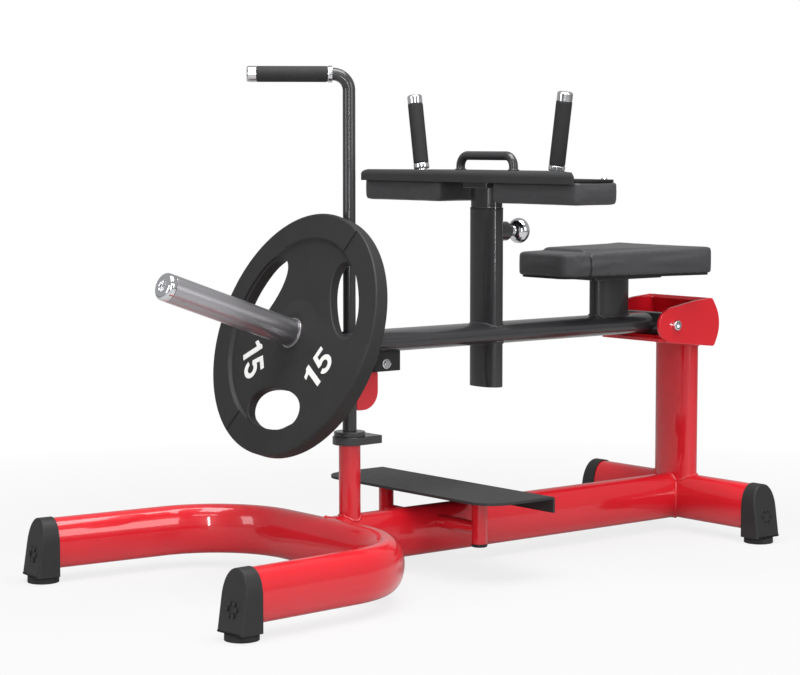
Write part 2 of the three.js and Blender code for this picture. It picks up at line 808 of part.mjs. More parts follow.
function addSeat(group) {
  const post = ovalTube(seatPostDepth, seatPostWidth, tubeWall, seatPlateZ - leverZ, upright(
    seatPostX, 0, leverZ));
  const plate = prism(rectangle(seatPlateLength, seatPlateWidth, seatPlateCorner), seatPlate, upright(
    seatPostX, 0, seatPlateZ));
  part(group, 'seat_post', joined([post, plate]).subtract(leverRoom(seatGap)), black());

  const boardZ = seatPlateZ + seatPlate + seatGap;
  const boardPoints = roundedPoints(seatCorners(seatBoardInset));
  part(group, 'seat_board', prism(boardPoints, seatBoard, upright(0, 0, boardZ)), wood());

  const padZ = boardZ + seatBoard + seatGap;
  const onBoard = upright(0, 0, padZ);
  const whole = cushion(roundedPoints(seatCorners(0)), seatPadEdge, seatCrown, seatPadEdge, onBoard);
  const seatSeamHalf = seatRearHalf
    - ((seatSeamX - seatRearX) / (seatFrontX - seatRearX)) * (seatRearHalf - seatFrontHalf);
  const rearPanel = cushion(roundedPoints([
    [seatRearX, -seatRearHalf, seatRearCorner],
    [seatSeamX, -seatSeamHalf, seatStep],
    [seatSeamX, seatSeamHalf, seatStep],
    [seatRearX, seatRearHalf, seatRearCorner],
  ]), seatPadEdge + seatStep, seatCrown, 2 * seatStep, onBoard);
  part(group, 'seat_pad', whole.add(rearPanel), leather());
}

// Knee sleeve and pull pin
const sleeveRearX = kneeX - sleeveDepth / 2;
const rearward = (x) => pointing(new THREE.Vector3(x, 0, pinZ), axisX.clone().negate());

function addKneeSleeve(group) {
  const sleeve = ovalTube(sleeveDepth, sleeveWidth, tubeWall, sleeveTopZ - sleeveBottomZ, upright(
    kneeX, 0, sleeveBottomZ));
  const pinRoom = rod(pinRadius + seatGap, sleeveDepth / 2, rearward(kneeX));
  part(group, 'knee_sleeve', sleeve.subtract(pinRoom), black());

  const liner = ovalTube(linerDepth, linerWidth, linerWall, linerLength, upright(
    kneeX, 0, sleeveTopZ - linerLength));
  const lip = ovalTube(sleeveDepth, sleeveWidth, tubeWall + seatGap + linerWall, linerLip, upright(
    kneeX, 0, sleeveTopZ + seatGap));
  const neck = ovalTube(linerDepth, linerWidth, linerWall, 2 * linerLip, upright(
    kneeX, 0, sleeveTopZ - linerLip));
  part(group, 'sleeve_bush', cut(joined([liner, neck, lip]), [pinRoom]), plastic());

  const housing = turned([
    [pinRadius + runningGap, housingLength],
    [pinRadius + runningGap, housingLength - housingCap],
    [housingBore, housingLength - housingCap],
    [housingBore, 0],
    [housingRadius, 0],
    [housingRadius, housingLength],
    [pinRadius + runningGap, housingLength],
  ], rearward(sleeveRearX - seatGap), fineSteps);
  const sleeveRoom = ovalRoom(sleeveDepth, sleeveWidth, 4 * housingRadius, upright(
    kneeX, 0, pinZ - 2 * housingRadius));
  part(group, 'pin_housing', housing.subtract(sleeveRoom), black());

  part(group, 'pin_spring', springSolid(), steel(), rearward(collarRearX - seatGap));
}

const kneeTubeRearX = kneeX - kneeTubeDepth / 2;
const pinTipX = kneeTubeRearX - seatGap;
const collarFrontX = sleeveRearX - seatGap - pinCollar / 2;
const collarRearX = collarFrontX - pinCollar;
const housingRearX = sleeveRearX - seatGap - housingLength;
const springLength = collarRearX - (housingRearX + housingCap) - 2 * seatGap;
const springRadius = (pinRadius + housingBore) / 2;

class SpringCurve extends THREE.Curve {
  getPoint(share, target = new THREE.Vector3()) {
    const turn = 2 * Math.PI * springTurns * share;
    const rise = springWire + share * (springLength - 2 * springWire);
    return target.set(springRadius * Math.cos(turn), springRadius * Math.sin(turn), rise);
  }
}

function springSolid() {
  const shape = new THREE.Shape(circle(springWire, springSides));
  const steps = springTurns * springSegments;
  const options = { steps, extrudePath: new SpringCurve(), bevelEnabled: false };
  return solid(new THREE.ExtrudeGeometry(shape, options));
}

function addPullPin(group) {
  const tipToCollar = pinTipX - collarFrontX;
  const shaft = pinTipX - housingRearX + pinPull;
  const pin = turned([
    [0, 0],
    [pinRadius - pinTipEdge, 0],
    [pinRadius, pinTipLength],
    [pinRadius, tipToCollar],
    [pinCollarRadius, tipToCollar],
    [pinCollarRadius, tipToCollar + pinCollar],
    [pinRadius, tipToCollar + pinCollar],
    [pinRadius, shaft],
    [0, shaft],
  ], undefined, fineSteps);
  part(group, 'pull_pin', pin, steel(), rearward(pinTipX));

  const knobStart = housingRearX - 2 * seatGap;
  const knob = [[0, 0], [knobNeckRadius, 0], [knobNeckRadius, knobFlat]];
  const low = Math.asin(knobNeckRadius / knobRadius);
  const centre = knobFlat + knobRadius * Math.cos(low);
  for (let step = 0; step <= knobSteps; step += 1) {
    const turn = low + ((Math.PI - low) * step) / knobSteps;
    const radius = step === knobSteps ? 0 : knobRadius * Math.sin(turn);
    knob.push([radius, centre - knobRadius * Math.cos(turn)]);
  }
  const bore = rod(pinRadius + seatGap, pinPull + 2 * seatGap + cutOver, upright(0, 0, -cutOver));
  part(group, 'pull_knob', turned(knob).subtract(bore), chrome(), rearward(knobStart));
}

// Knee unit
function addKneeUnit(group) {
  const mountTopZ = topPlateZ - topPlate - seatGap;
  const tubeTopZ = mountTopZ - mountPlate - seatGap;
  const tube = ovalTube(kneeTubeDepth, kneeTubeWidth, kneeTubeWall, tubeTopZ - kneeTubeBottomZ, upright(
    kneeX, 0, kneeTubeBottomZ));
  const holes = [];
  for (let drop = 0; drop <= kneeTravel; drop += kneeHolePitch) {
    holes.push(rod(pinRadius + seatGap, kneeTubeDepth, pointing(
      new THREE.Vector3(kneeX, 0, pinZ - drop), axisX.clone().negate()), boltSteps));
  }
  part(group, 'knee_inner_tube', cut(tube, holes), chrome());

  const collarDepth = kneeTubeDepth + 2 * (seatGap + mountCollarWall);
  const collarWidth = kneeTubeWidth + 2 * (seatGap + mountCollarWall);
  const collarLength = mountTopZ - mountCollarBottomZ;
  const collar = ovalTube(collarDepth, collarWidth, mountCollarWall, collarLength, upright(
    kneeX, 0, mountCollarBottomZ));
  const mount = prism(rectangle(mountDepth, mountWidth, mountCorner), mountPlate, upright(
    kneeX, 0, mountTopZ - mountPlate));
  part(group, 'knee_mount_block', collar.add(mount), black());

  const sheet = prism(roundedPoints([
    [topPlateRearX, -topPlateRearHalf, topPlateCorner],
    [topPlateFrontX, -topPlateFrontHalf, topPlate],
    [topPlateFrontX, topPlateFrontHalf, topPlate],
    [topPlateRearX, topPlateRearHalf, topPlateCorner],
  ]), topPlate, upright(0, 0, topPlateZ - topPlate));
  const lipOutline = rectangle(topPlate, 2 * (topPlateFrontHalf - topPlate), topPlateLipEdge);
  const lip = prism(lipOutline, topPlateLip, upright(
    topPlateFrontX - topPlate / 2, 0, topPlateZ - topPlateLip));
  part(group, 'knee_top_plate', sheet.add(lip), black());

  [['left', 1], ['right', -1]].forEach(([sideName, side]) => {
    const length = padOuterY - padInnerY;
    const depth = padFrontX - padRearX;
    const x = (padFrontX + padRearX) / 2;
    const y = (side * (padInnerY + padOuterY)) / 2;
    const pad = cushion(rectangle(depth, length, padCorner), padEdge, padCrown, padDraw);
    part(group, `knee_pad_${sideName}`, pad, leather(), frame(
      x, y, padTopZ, axisX, axisY.clone().negate(), axisZ.clone().negate()));

    const boardWide = depth - 2 * kneeBoardInset;
    const boardFrontX = topPlateFrontX - topPlate - 2 * seatGap;
    const boardX = Math.min(x, boardFrontX - boardWide / 2);
    const board = prism(rectangle(boardWide, length - 2 * kneeBoardInset, padCorner), kneeBoard, upright(
      boardX, y, padTopZ + seatGap));
    const bolt = rod(boardBoltRadius, boardBoltHeight + kneeBoard / 2, upright(
      padRearX + 2 * boardBoltRadius + kneeBoardInset,
      side * (padOuterY - 4 * boardBoltRadius),
      padTopZ + seatGap + kneeBoard / 2,
    ), boltSteps);
    part(group, `knee_board_${sideName}`, board.add(bolt), wood());
  });
}

// Hand grips and handle on the knee plate
function addGrips(group) {
  [['left', 1], ['right', -1]].forEach(([sideName, side]) => {
    const heading = new THREE.Vector3(0, side * Math.sin(gripSplay), Math.cos(gripSplay));
    const root = new THREE.Vector3(kneeX, side * gripY, topPlateZ);
    const rodStart = -gripFootRadius * Math.sin(gripSplay) - gripFoot;
    const capLow = gripRodLength;
    const shaft = turned([
      [0, rodStart],
      [gripRodRadius, rodStart],
      [gripRodRadius, gripRingLift],
      [gripRingRadius, gripRingLift],
      [gripRingRadius, gripRingLift + gripRing],
      [gripRodRadius, gripRingLift + gripRing],
      [gripRodRadius, capLow],
      [gripCapRadius, capLow],
      [gripCapRadius, capLow + gripCap - gripCapRound],
      [gripCapRadius - gripCapRound, capLow + gripCap],
      [0, capLow + gripCap],
    ], pointing(root, heading));
    const foot = rod(gripFootRadius, gripFoot, upright(root.x, root.y, topPlateZ + seatGap));
    const under = block(4 * gripFootRadius, 4 * gripFootRadius, 4 * gripFootRadius, upright(
      root.x, root.y, topPlateZ + seatGap - 2 * gripFootRadius));
    part(group, `grip_rod_${sideName}`, shaft.add(foot).subtract(under), chrome());

    const low = gripRingLift + gripRing + seatGap;
    const high = capLow - seatGap;
    const sleeveRing = ring(gripSleeveRadius, gripRodRadius + seatGap, low, high);
    part(group, `grip_sleeve_${sideName}`, turned(sleeveRing, pointing(root, heading)), rubber());
  });

  const low = topPlateZ + seatGap;
  const top = topPlateZ + handleRise;
  const corner = (side) => new BendCurve(
    new THREE.Vector3(kneeX, side * (handleHalf - handleBend), top - handleBend),
    new THREE.Vector3(0, side * handleBend, 0),
    new THREE.Vector3(0, 0, handleBend),
    Math.PI / 2,
  );
  const left = corner(1);
  const right = corner(-1);
  const rightBack = new BendCurve(right.centre, right.getPoint(1).sub(right.centre),
    right.getTangent(1).multiplyScalar(-handleBend), right.angle);
  const path = new BentPath([
    straight(new THREE.Vector3(kneeX, handleHalf, low), left.getPoint(0)),
    left,
    straight(left.getPoint(1), right.getPoint(1)),
    rightBack,
    straight(right.getPoint(0), new THREE.Vector3(kneeX, -handleHalf, low)),
  ]);
  const bow = swept(circle(handleRadius, handleSteps), path);
  const foot = (side) => rod(handleFootRadius, handleFoot, upright(kneeX, side * handleHalf, low));
  part(group, 'knee_u_handle', joined([bow, foot(1), foot(-1)]), black());
}

// Foot plate
function addFootPlate(group) {
  const sheet = prism(roundedPoints([
    [stepRearX, -stepHalf, stepRearCorner],
    [stepFrontX, -stepHalf, stepFrontCorner],
    [stepFrontX, stepHalf, stepFrontCorner],
    [stepRearX, stepHalf, stepRearCorner],
  ]), stepSheet, upright(0, 0, stepTopZ - stepSheet));
  const lipOutline = rectangle(stepSheet, 2 * (stepHalf - stepRearCorner), stepLipEdge);
  const lip = prism(lipOutline, stepLip, upright(stepRearX + stepSheet / 2, 0, stepTopZ - stepLip));
  part(group, 'foot_plate', sheet.add(lip), black());

  [['left', 1], ['right', -1]].forEach(([sideName, side]) => {
    const top = stepTopZ - stepSheet - seatGap;
    const leg = rod(stepLegRadius, top - stepLegBottomZ, upright(
      stepLegX, side * stepLegY, stepLegBottomZ));
    const stub = rod(stepLegRadius, stepLegY, pointing(
      new THREE.Vector3(stepLegX, 0, stepStubZ), new THREE.Vector3(0, side, 0)));
    part(group, `foot_bracket_${sideName}`, leg.add(stub).subtract(beamRoom()), red());
  });
}

// Safety post, bar and catch
function addSafetyPost(group) {
  const postRing = ring(safetyPostRadius, safetyPostRadius - tubeWall, beamZ, safetyPostTopZ - seatGap);
  part(group, 'front_post', turned(postRing, upright(safetyX, 0, 0)).subtract(beamRoom()), red());

  const tabLength = topTabBack + topTabHalf;
  const tab = prism(roundedPoints([
    [safetyX - topTabBack, -topTabHalf, stopCorner],
    [safetyX - topTabBack + tabLength, -topTabHalf, topTabHalf - seatGap],
    [safetyX - topTabBack + tabLength, topTabHalf, topTabHalf - seatGap],
    [safetyX - topTabBack, topTabHalf, stopCorner],
  ]), topTab, upright(0, 0, safetyPostTopZ));
  const bushBody = safetyPostRadius - tubeWall - seatGap;
  const tabHole = rod(pintleRadius + seatGap, topTab + 2 * cutOver, upright(
    safetyX, 0, safetyPostTopZ - cutOver));
  part(group, 'post_top_plate', tab.subtract(tabHole), black());

  const bushTop = safetyPostTopZ - seatGap;
  const bushLow = bushTop - pintleDepth - bushShelf - seatGap;
  const bush = turned([
    [0, bushLow],
    [bushBody, bushLow],
    [bushBody, bushTop],
    [pintleRadius + runningGap, bushTop],
    [pintleRadius + runningGap, bushLow + bushShelf],
    [0, bushLow + bushShelf],
  ], upright(safetyX, 0, 0), fineSteps);
  part(group, 'post_bush', bush, plastic());
}

const barHeading = new THREE.Vector3(Math.cos(barAside), Math.sin(barAside), 0);
const tabTopZ = safetyPostTopZ + topTab;
const collarTopZ = tabTopZ + seatGap + collarHeight;

function addSafetyBar(group) {
  const foot = new THREE.Vector3(safetyX, 0, safetyPostTopZ - pintleDepth);
  const bendStart = new THREE.Vector3(safetyX, 0, barTopZ - barBend);
  const bend = new BendCurve(
    bendStart.clone().addScaledVector(barHeading, barBend),
    barHeading.clone().multiplyScalar(-barBend),
    new THREE.Vector3(0, 0, barBend),
    Math.PI / 2,
  );
  const gripEnd = new THREE.Vector3(safetyX, 0, barTopZ).addScaledVector(barHeading, barReach);
  const path = new BentPath([straight(foot, bendStart), bend, straight(bend.getPoint(1), gripEnd)]);
  const bar = swept(circle(barRadius, fineSteps / 2), path);
  const onGrip = (distance) => pointing(new THREE.Vector3(safetyX, 0, barTopZ)
    .addScaledVector(barHeading, barReach - distance), barHeading);
  const ringBand = rod(barRingRadius, barRing, onGrip(barGripLength + barRing), fineSteps / 2);
  const sleeve = rod(barSleeveRadius, barSleeveTopZ - collarTopZ - seatGap, upright(
    safetyX, 0, collarTopZ + seatGap), fineSteps / 2);
  part(group, 'safety_bar', joined([bar, ringBand, sleeve]), black());

  const collar = turned(ring(collarRadius, barRadius + seatGap, tabTopZ + seatGap, collarTopZ), upright(
    safetyX, 0, 0), fineSteps);
  part(group, 'safety_washer', collar, black());

  const grip = turned(ring(barGripRadius, barRadius + seatGap, 0, barGripLength - seatGap), onGrip(
    barGripLength - seatGap));
  part(group, 'safety_grip', grip, rubber());

  const cap = turned([
    [0, 0],
    [barGripRadius, 0],
    [barGripRadius, barGripCap - gripCapRound],
    [barGripRadius - gripCapRound, barGripCap],
    [0, barGripCap],
  ], onGrip(-seatGap));
  part(group, 'safety_grip_cap', cap, chrome());

  const frontX = safetyX - barSleeveRadius - seatGap;
  const rearX = frontX - catchReach;
  const plate = prism(roundedPoints([
    [rearX, catchTopZ - catchHeight, catchHeelRadius],
    [frontX, catchTopZ - catchHeight, catchCorner],
    [frontX, catchTopZ, seatGap],
    [rearX, catchTopZ, catchCorner],
  ]), catchThick, acrossY(0, catchThick / 2, 0));
  part(group, 'catch_plate', plate, red());
}

function addStopBlock(group) {
  const low = catchTopZ + seatGap;
  const length = stopFrontX - stopRearX;
  const body = prism(rectangle(length, 2 * stopHalf, stopCorner), leverZ - low, upright(
    (stopFrontX + stopRearX) / 2, 0, low));
  const boltZ = low + stopBoltRise;
  const hole = rod(stopBoltRadius + seatGap, stopHalf + cutOver + seatGap, acrossY(
    stopBoltX, stopHalf + cutOver, boltZ));
  part(group, 'stop_block', cut(body, [leverRoom(seatGap), hole]), rubber());

  const shank = rod(stopBoltRadius, stopHalf, acrossY(stopBoltX, stopHalf + seatGap, boltZ));
  const head = rod(stopBoltHead, stopBoltHeadHeight, acrossY(
    stopBoltX, stopHalf + seatGap + stopBoltHeadHeight, boltZ), hexSteps);
  part(group, 'stop_bolt', shank.add(head), chrome());
}

// Horn bracket, horn and cap
const flangeFront = -plateThick - seatGap;

function addHorn(group) {
  const plateX = leverEndX + seatGap;
  const plateOutline = ovalPoints(leverWidth + 2 * endPlateRim, leverHeight + 2 * endPlateRim);
  const plate = prism(plateOutline, endPlate, alongX(plateX, 0, leverZ));
  const flangeDisc = rod(flangeRadius, flange, onHorn(flangeFront - flange), fineSteps);
  const socketLength = 2 * hornRoot;
  const socket = rod(socketRadius, socketLength, onHorn(flangeFront - flange / 2 - socketLength));
  const behind = block(2 * socketLength, 4 * socketRadius, 4 * socketRadius, upright(
    plateX - socketLength, 0, leverZ));
  const hornRoom = rod(
    hornRadius + seatGap, socketLength + 2 * cutOver, onHorn(-hornRoot - seatGap), fineSteps);
  const bracket = cut(joined([plate, flangeDisc, socket]), [behind, hornRoom]);
  part(group, 'horn_bracket', bracket, black());

  const capStart = hornAhead - hornCapLength;
  const hornRing = ring(hornRadius, hornRadius - hornWall, -hornRoot, capStart - seatGap);
  part(group, 'weight_horn', turned(hornRing, undefined, fineSteps), steel(), onHorn(0));

  const plug = hornRadius - hornWall - seatGap;
  const cap = [[0, -hornCapPlug], [plug, -hornCapPlug], [plug, 0], [hornRadius, 0]];
  for (let step = 0; step <= cornerSteps; step += 1) {
    const turn = (Math.PI / 2) * (step / cornerSteps);
    const shoulder = hornCapLength / 2;
    cap.push([
      hornRadius - shoulder + shoulder * Math.cos(turn),
      hornCapLength - shoulder + shoulder * Math.sin(turn),
    ]);
  }
  cap.push(
    [hornCapRecess, hornCapLength],
    [hornCapRecess, hornCapLength - hornCapRecessDepth],
    [0, hornCapLength - hornCapRecessDepth],
  );
  part(group, 'horn_cap', turned(cap, undefined, fineSteps), chrome(), onHorn(capStart));
}

// Weight plate with three hand windows
function windowPoints() {
  const points = [];
  const middle = (windowInner + windowOuter) / 2;
  const half = (windowOuter - windowInner) / 2;
  ovalPoints(2, 2, windowFullness, windowSteps).forEach((share) => {
    const turn = share.x * windowHalfTurn;
    const radius = middle + share.y * half;
    points.push(new THREE.Vector2(radius * Math.sin(turn), -radius * Math.cos(turn)));
  });
  return points;
}

function reliefPoints() {
  const points = [];
  for (let step = 0; step <= cornerSteps * 2; step += 1) {
    const turn = rimReliefHalfTurn * (step / cornerSteps - 1);
    points.push(new THREE.Vector2(rimReliefOuter * Math.sin(turn), -rimReliefOuter * Math.cos(turn)));
  }
  for (let step = cornerSteps * 2; step >= 0; step -= 1) {
    const turn = rimReliefHalfTurn * (step / cornerSteps - 1);
    points.push(new THREE.Vector2(windowOuter * Math.sin(turn), -windowOuter * Math.cos(turn)));
  }
  return points;
}

function addWeightPlate(group) {
  const bore = hornRadius + plateGap;
  const face = [
    [bore, 0],
    [plateHubRadius, 0],
    [plateHubRadius + plateHubSlope, plateRecess],
    [plateRimInner - plateSlope, plateRecess],
    [plateRimInner, 0],
    [plateRadius - plateEdge, 0],
    [plateRadius, plateEdge],
  ];
  const front = face.map(([radius, depth]) => [radius, -depth]);
  const rear = face.map(([radius, depth]) => [radius, depth - plateThick]);
  const disc = turned([...front, ...rear.reverse(), front[0]], undefined, fineSteps);
  const tools = [];
  for (let index = 0; index < windowCount; index += 1) {
    const turn = new THREE.Matrix4().makeRotationZ((2 * Math.PI * index) / windowCount);
    const low = new THREE.Matrix4().makeTranslation(0, 0, -plateThick - cutOver);
    tools.push(prism(windowPoints(), plateThick + 2 * cutOver, turn.clone().multiply(low)));
    [-rimRelief, -plateThick - cutOver + rimRelief].forEach((height) => {
      const at = new THREE.Matrix4().makeTranslation(0, 0, height);
      tools.push(prism(reliefPoints(), cutOver, turn.clone().multiply(at)));
    });
  }
  part(group, 'weight_plate', cut(disc, tools), rubber(), onHorn(0));
}

const group = new THREE.Group();
const base = new THREE.Group();
const lever = new THREE.Group();
const pullPin = new THREE.Group();
const kneeUnit = new THREE.Group();
const safetyHandle = new THREE.Group();
const load = new THREE.Group();
lever.add(pullPin, kneeUnit, load);
group.add(base, lever, safetyHandle);

addBase(base);
addYoke(base);
addPivot(base);
addFootPlate(base);
addSafetyPost(base);
addLever(lever);
addSeat(lever);
addKneeSleeve(lever);
addStopBlock(lever);
addHorn(lever);
addPullPin(pullPin);
addKneeUnit(kneeUnit);
addGrips(kneeUnit);
addSafetyBar(safetyHandle);
addWeightPlate(load);

export default group;
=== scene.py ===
# %% [markdown]
# # Dressing a seated calf raise machine
# The machine is a red steel base that carries a black lever with a seat, two knee pads and a loaded horn.
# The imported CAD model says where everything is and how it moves, so it is loaded first and stays as it is.
# Every surface that shows is then made again, finer, and given its finish.

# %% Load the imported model
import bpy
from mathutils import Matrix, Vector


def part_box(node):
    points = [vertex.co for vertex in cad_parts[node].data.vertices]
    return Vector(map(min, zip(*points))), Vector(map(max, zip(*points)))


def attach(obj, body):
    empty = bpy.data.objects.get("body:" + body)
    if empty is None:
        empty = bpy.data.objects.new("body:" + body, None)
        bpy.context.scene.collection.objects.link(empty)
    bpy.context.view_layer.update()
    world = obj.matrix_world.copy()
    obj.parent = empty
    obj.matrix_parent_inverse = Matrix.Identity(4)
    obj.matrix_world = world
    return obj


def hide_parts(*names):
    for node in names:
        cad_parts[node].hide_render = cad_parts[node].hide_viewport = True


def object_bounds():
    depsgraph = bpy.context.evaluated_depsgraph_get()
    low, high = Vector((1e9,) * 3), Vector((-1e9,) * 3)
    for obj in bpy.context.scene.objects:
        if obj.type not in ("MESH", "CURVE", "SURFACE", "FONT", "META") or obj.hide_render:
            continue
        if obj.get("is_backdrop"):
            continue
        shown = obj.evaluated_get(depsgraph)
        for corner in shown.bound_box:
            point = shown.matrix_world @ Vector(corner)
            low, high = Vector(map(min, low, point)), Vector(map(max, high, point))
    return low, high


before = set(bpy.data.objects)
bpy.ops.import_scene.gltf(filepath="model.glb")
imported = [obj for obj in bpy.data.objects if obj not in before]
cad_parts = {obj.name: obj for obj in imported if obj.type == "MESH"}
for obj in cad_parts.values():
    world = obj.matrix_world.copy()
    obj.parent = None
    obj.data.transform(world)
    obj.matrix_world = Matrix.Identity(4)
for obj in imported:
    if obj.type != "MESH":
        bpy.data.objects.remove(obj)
cad_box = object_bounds()
print("CAD box in metres:", [list(corner) for corner in cad_box])

# %% Tools of the trade
import math

import bpy
import numpy as np
from mathutils import Vector

MM = 0.001
X, Y, Z = np.eye(3)
SIDES = (("left", 1), ("right", -1))
WHITE = (1.0, 1.0, 1.0, 1.0)


def add(name, data):
    """A new object in the scene, around a mesh, a lamp or a camera."""
    thing = bpy.data.objects.new(name, data)
    bpy.context.scene.collection.objects.link(thing)
    return thing

# %% [markdown]
# ## The camera
# The picture is taken from a few metres away with a long lens, so parallel tubes stay nearly parallel. The
# camera stands in front of the machine's left side and looks down by about five degrees. Its focal length is
# known in pixels, and the sensor's width over the picture's turns that into millimetres.

# %% Camera
sensor_width, picture_width, focal_pixels = 36.0, 800, 2290.3
camera_data = bpy.data.cameras.new("studio_camera")
camera_data.sensor_width = sensor_width
camera_data.lens = sensor_width * focal_pixels / picture_width
camera_data.clip_end = 60
camera = add("studio_camera", camera_data)
camera.location = (2.7622, 3.3006, 0.8064)
look = Vector((-0.62848, -0.77300, -0.08650))
camera.rotation_euler = look.to_track_quat("-Z", "Y").to_euler()
bpy.context.scene.camera = camera
print("lens", round(camera_data.lens, 2), "mm")

# %% [markdown]
# ## Finishes as arithmetic
# A finish is a network of nodes. A number that varies over a surface is wrapped in a small class, and
# ordinary sums on it add the Math nodes. Numbers that are the same everywhere go straight onto the shader's
# sockets.

# %% A number that varies over a surface
class Amount:
    """A socket's value. first + second, first - second and first * second each add one Math node."""

    def __init__(self, nodes, socket):
        self.nodes = nodes
        self.socket = socket

    def maths(self, operation, first, second):
        return self.nodes.node("ShaderNodeMath", {"operation": operation}, {0: first, 1: second})

    def __add__(self, other):
        return self.maths("ADD", self, other)

    def __radd__(self, other):
        return self.maths("ADD", other, self)

    def __sub__(self, other):
        return self.maths("SUBTRACT", self, other)

    def __mul__(self, other):
        return self.maths("MULTIPLY", self, other)

    def __rmul__(self, other):
        return self.maths("MULTIPLY", other, self)

# %% One node tree
class Nodes:
    """A tree of nodes, and the one method that adds a node of any kind to it."""

    def __init__(self, tree):
        self.tree = tree

    def node(self, kind, settings=None, sockets=None, result=0):
        made = self.tree.nodes.new(kind)
        for setting, value in (settings or {}).items():
            setattr(made, setting, value)
        for socket, value in (sockets or {}).items():
            self.plug(made.inputs[socket], value)
        return Amount(self, made.outputs[result])

    def plug(self, socket, value):
        if isinstance(value, Amount):
            self.tree.links.new(value.socket, socket)
        else:
            socket.default_value = value

    def seen(self, mirrored):
        """1 for what the camera sees, `mirrored` for what a mirror shows, 0 for the light that fills."""
        ray = lambda kind: self.node("ShaderNodeLightPath", result=f"Is {kind} Ray")
        share = ray("Camera")
        for kind in ("Glossy", "Transmission"):
            share = share.maths("MAXIMUM", share, mirrored * ray(kind))
        return share

    def ramp(self, value, start, end, first, last):
        """`first` up to where the value is `start`, `last` from `end` on, and a straight line between."""
        sockets = {"Value": value, "From Min": start, "From Max": end, "To Min": first, "To Max": last}
        return self.node("ShaderNodeMapRange", {}, sockets)

# %% One finish
def tint(red, green, blue):
    """Screen values from 0 to 255 to light: ((v + 0.055) / 1.055)^2.4, and v / 12.92 in the darks."""
    share = np.array([red, green, blue]) / 255
    light = np.where(share > 0.04045, ((share + 0.055) / 1.055) ** 2.4, share / 12.92)
    return (*light.tolist(), 1.0)


class Finish(Nodes):
    """A material on the Principled shader."""

    def __init__(self, name, **constants):
        self.material = bpy.data.materials.new(name)
        self.material.use_nodes = True
        super().__init__(self.material.node_tree)
        self.shader = self.tree.nodes["Principled BSDF"]
        for socket, value in constants.items():
            self.shader.inputs[socket.replace("_", " ")].default_value = value

    def shade(self, socket, value):
        self.plug(self.shader.inputs[socket], value)

    def place(self, stretch=(1, 1, 1), turn=(0, 0, 0)):
        """Object coordinates in metres, turned and then stretched."""
        where = self.node("ShaderNodeTexCoord", result="Object")
        turned = self.node("ShaderNodeMapping", {}, {"Vector": where, "Rotation": turn})
        return self.node("ShaderNodeMapping", {}, {"Vector": turned, "Scale": stretch})

    def cloud(self, scale, where, detail=2.0):
        """Soft noise from 0 to 1 with about `scale` lumps in a metre."""
        return self.node("ShaderNodeTexNoise", {}, {"Vector": where, "Scale": scale, "Detail": detail})

    def cells(self, scale, where):
        """Distance to the middle of the nearest of `scale` cells in a metre."""
        return self.node("ShaderNodeTexVoronoi", {}, {"Vector": where, "Scale": scale})

    def between(self, share, first, second):
        """The first colour where the share is 0, the second where it is 1."""
        return self.node("ShaderNodeMix", {"data_type": "RGBA"}, {0: share, 6: first, 7: second}, result=2)

    def relief(self, height, depth, strength):
        """Bumps `depth` metres high where the height goes from 0 to 1."""
        sockets = {"Height": height, "Distance": depth, "Strength": strength}
        self.shade("Normal", self.node("ShaderNodeBump", {}, sockets, "Normal"))

# %% [markdown]
# ## Paint
# Powder melts into a thick gloss that is never quite flat: close up it has the fine waves that painters call
# orange peel. A clear coat gives the sharp white lights, and a very faint bump softens their edges. The
# lever's black is the same coating, but satin.

# %% Red gloss and black satin powder coat
def powder_coat(name, light, dark, shine, spread, peel, **constants):
    """Two close tones mixed by slow clouds; roughness = shine + spread × cloud; waves `peel` metres high."""
    paint = Finish(name, **constants)
    where = paint.place()
    slow = paint.cloud(9.0, where)
    paint.shade("Base Color", paint.between(slow, tint(*light), tint(*dark)))
    paint.shade("Roughness", shine + spread * paint.cloud(70.0, where))
    paint.relief(paint.cloud(300.0, where, 1.0), peel, 0.3)
    return paint.material


red_paint = powder_coat("red_paint", (214, 26, 40), (204, 20, 34), 0.30, 0.06, 0.00003,
                        Specular_IOR_Level=0.25, Coat_Weight=0.9, Coat_Roughness=0.06)
black_paint = powder_coat("black_paint", (48, 48, 50), (40, 40, 42), 0.36, 0.08, 0.00003,
                          Specular_IOR_Level=0.25, Coat_Weight=0.7, Coat_Roughness=0.09)
sheet_black = powder_coat("sheet_black", (50, 50, 51), (43, 43, 44), 0.48, 0.12, 0.00006,
                          Specular_IOR_Level=0.3)
print("paints:", red_paint.name, black_paint.name, sheet_black.name)

# %% [markdown]
# ## Plastic, rubber and vinyl
# Moulded caps have a spark-eroded grain, rubber is rougher and dustier, and the pads' vinyl is embossed with
# a net of small cells. The grain is a Voronoi pattern with a little noise, sized in cells per metre. One
# seam crosses the seat, and a dark line along it is painted shade in the seam's groove.

# %% Moulded and soft finishes
def moulded(name, light, dark, shine, spread, grain, depth, seam_x=None, **constants):
    """`grain` cells per metre pressed `depth` metres deep, with a slow change of tone. Painted shade makes a
    seam's groove dark within 1.3 mm of its plane at `seam_x` metres, and has faded out at 2.7 mm."""
    made = Finish(name, **constants)
    where = made.place()
    tone = made.between(made.cloud(24.0, where), tint(*light), tint(*dark))
    if seam_x is not None:
        # Painted shade: a near-black line along the seat's seam, where its groove and step fall into shade.
        aside = made.node("ShaderNodeSeparateXYZ", {}, {0: where}) - seam_x
        seam_shade = made.ramp(aside.maths("ABSOLUTE", aside, 0.0), 0.0013, 0.0027, 1.0, 0.0)
        tone = made.between(seam_shade, tone, tint(12, 12, 13))
    made.shade("Base Color", tone)
    made.shade("Roughness", shine + spread * made.cloud(55.0, where))
    made.relief(made.cells(grain, where) + 0.4 * made.cloud(grain * 0.6, where), depth, 0.6)
    return made.material


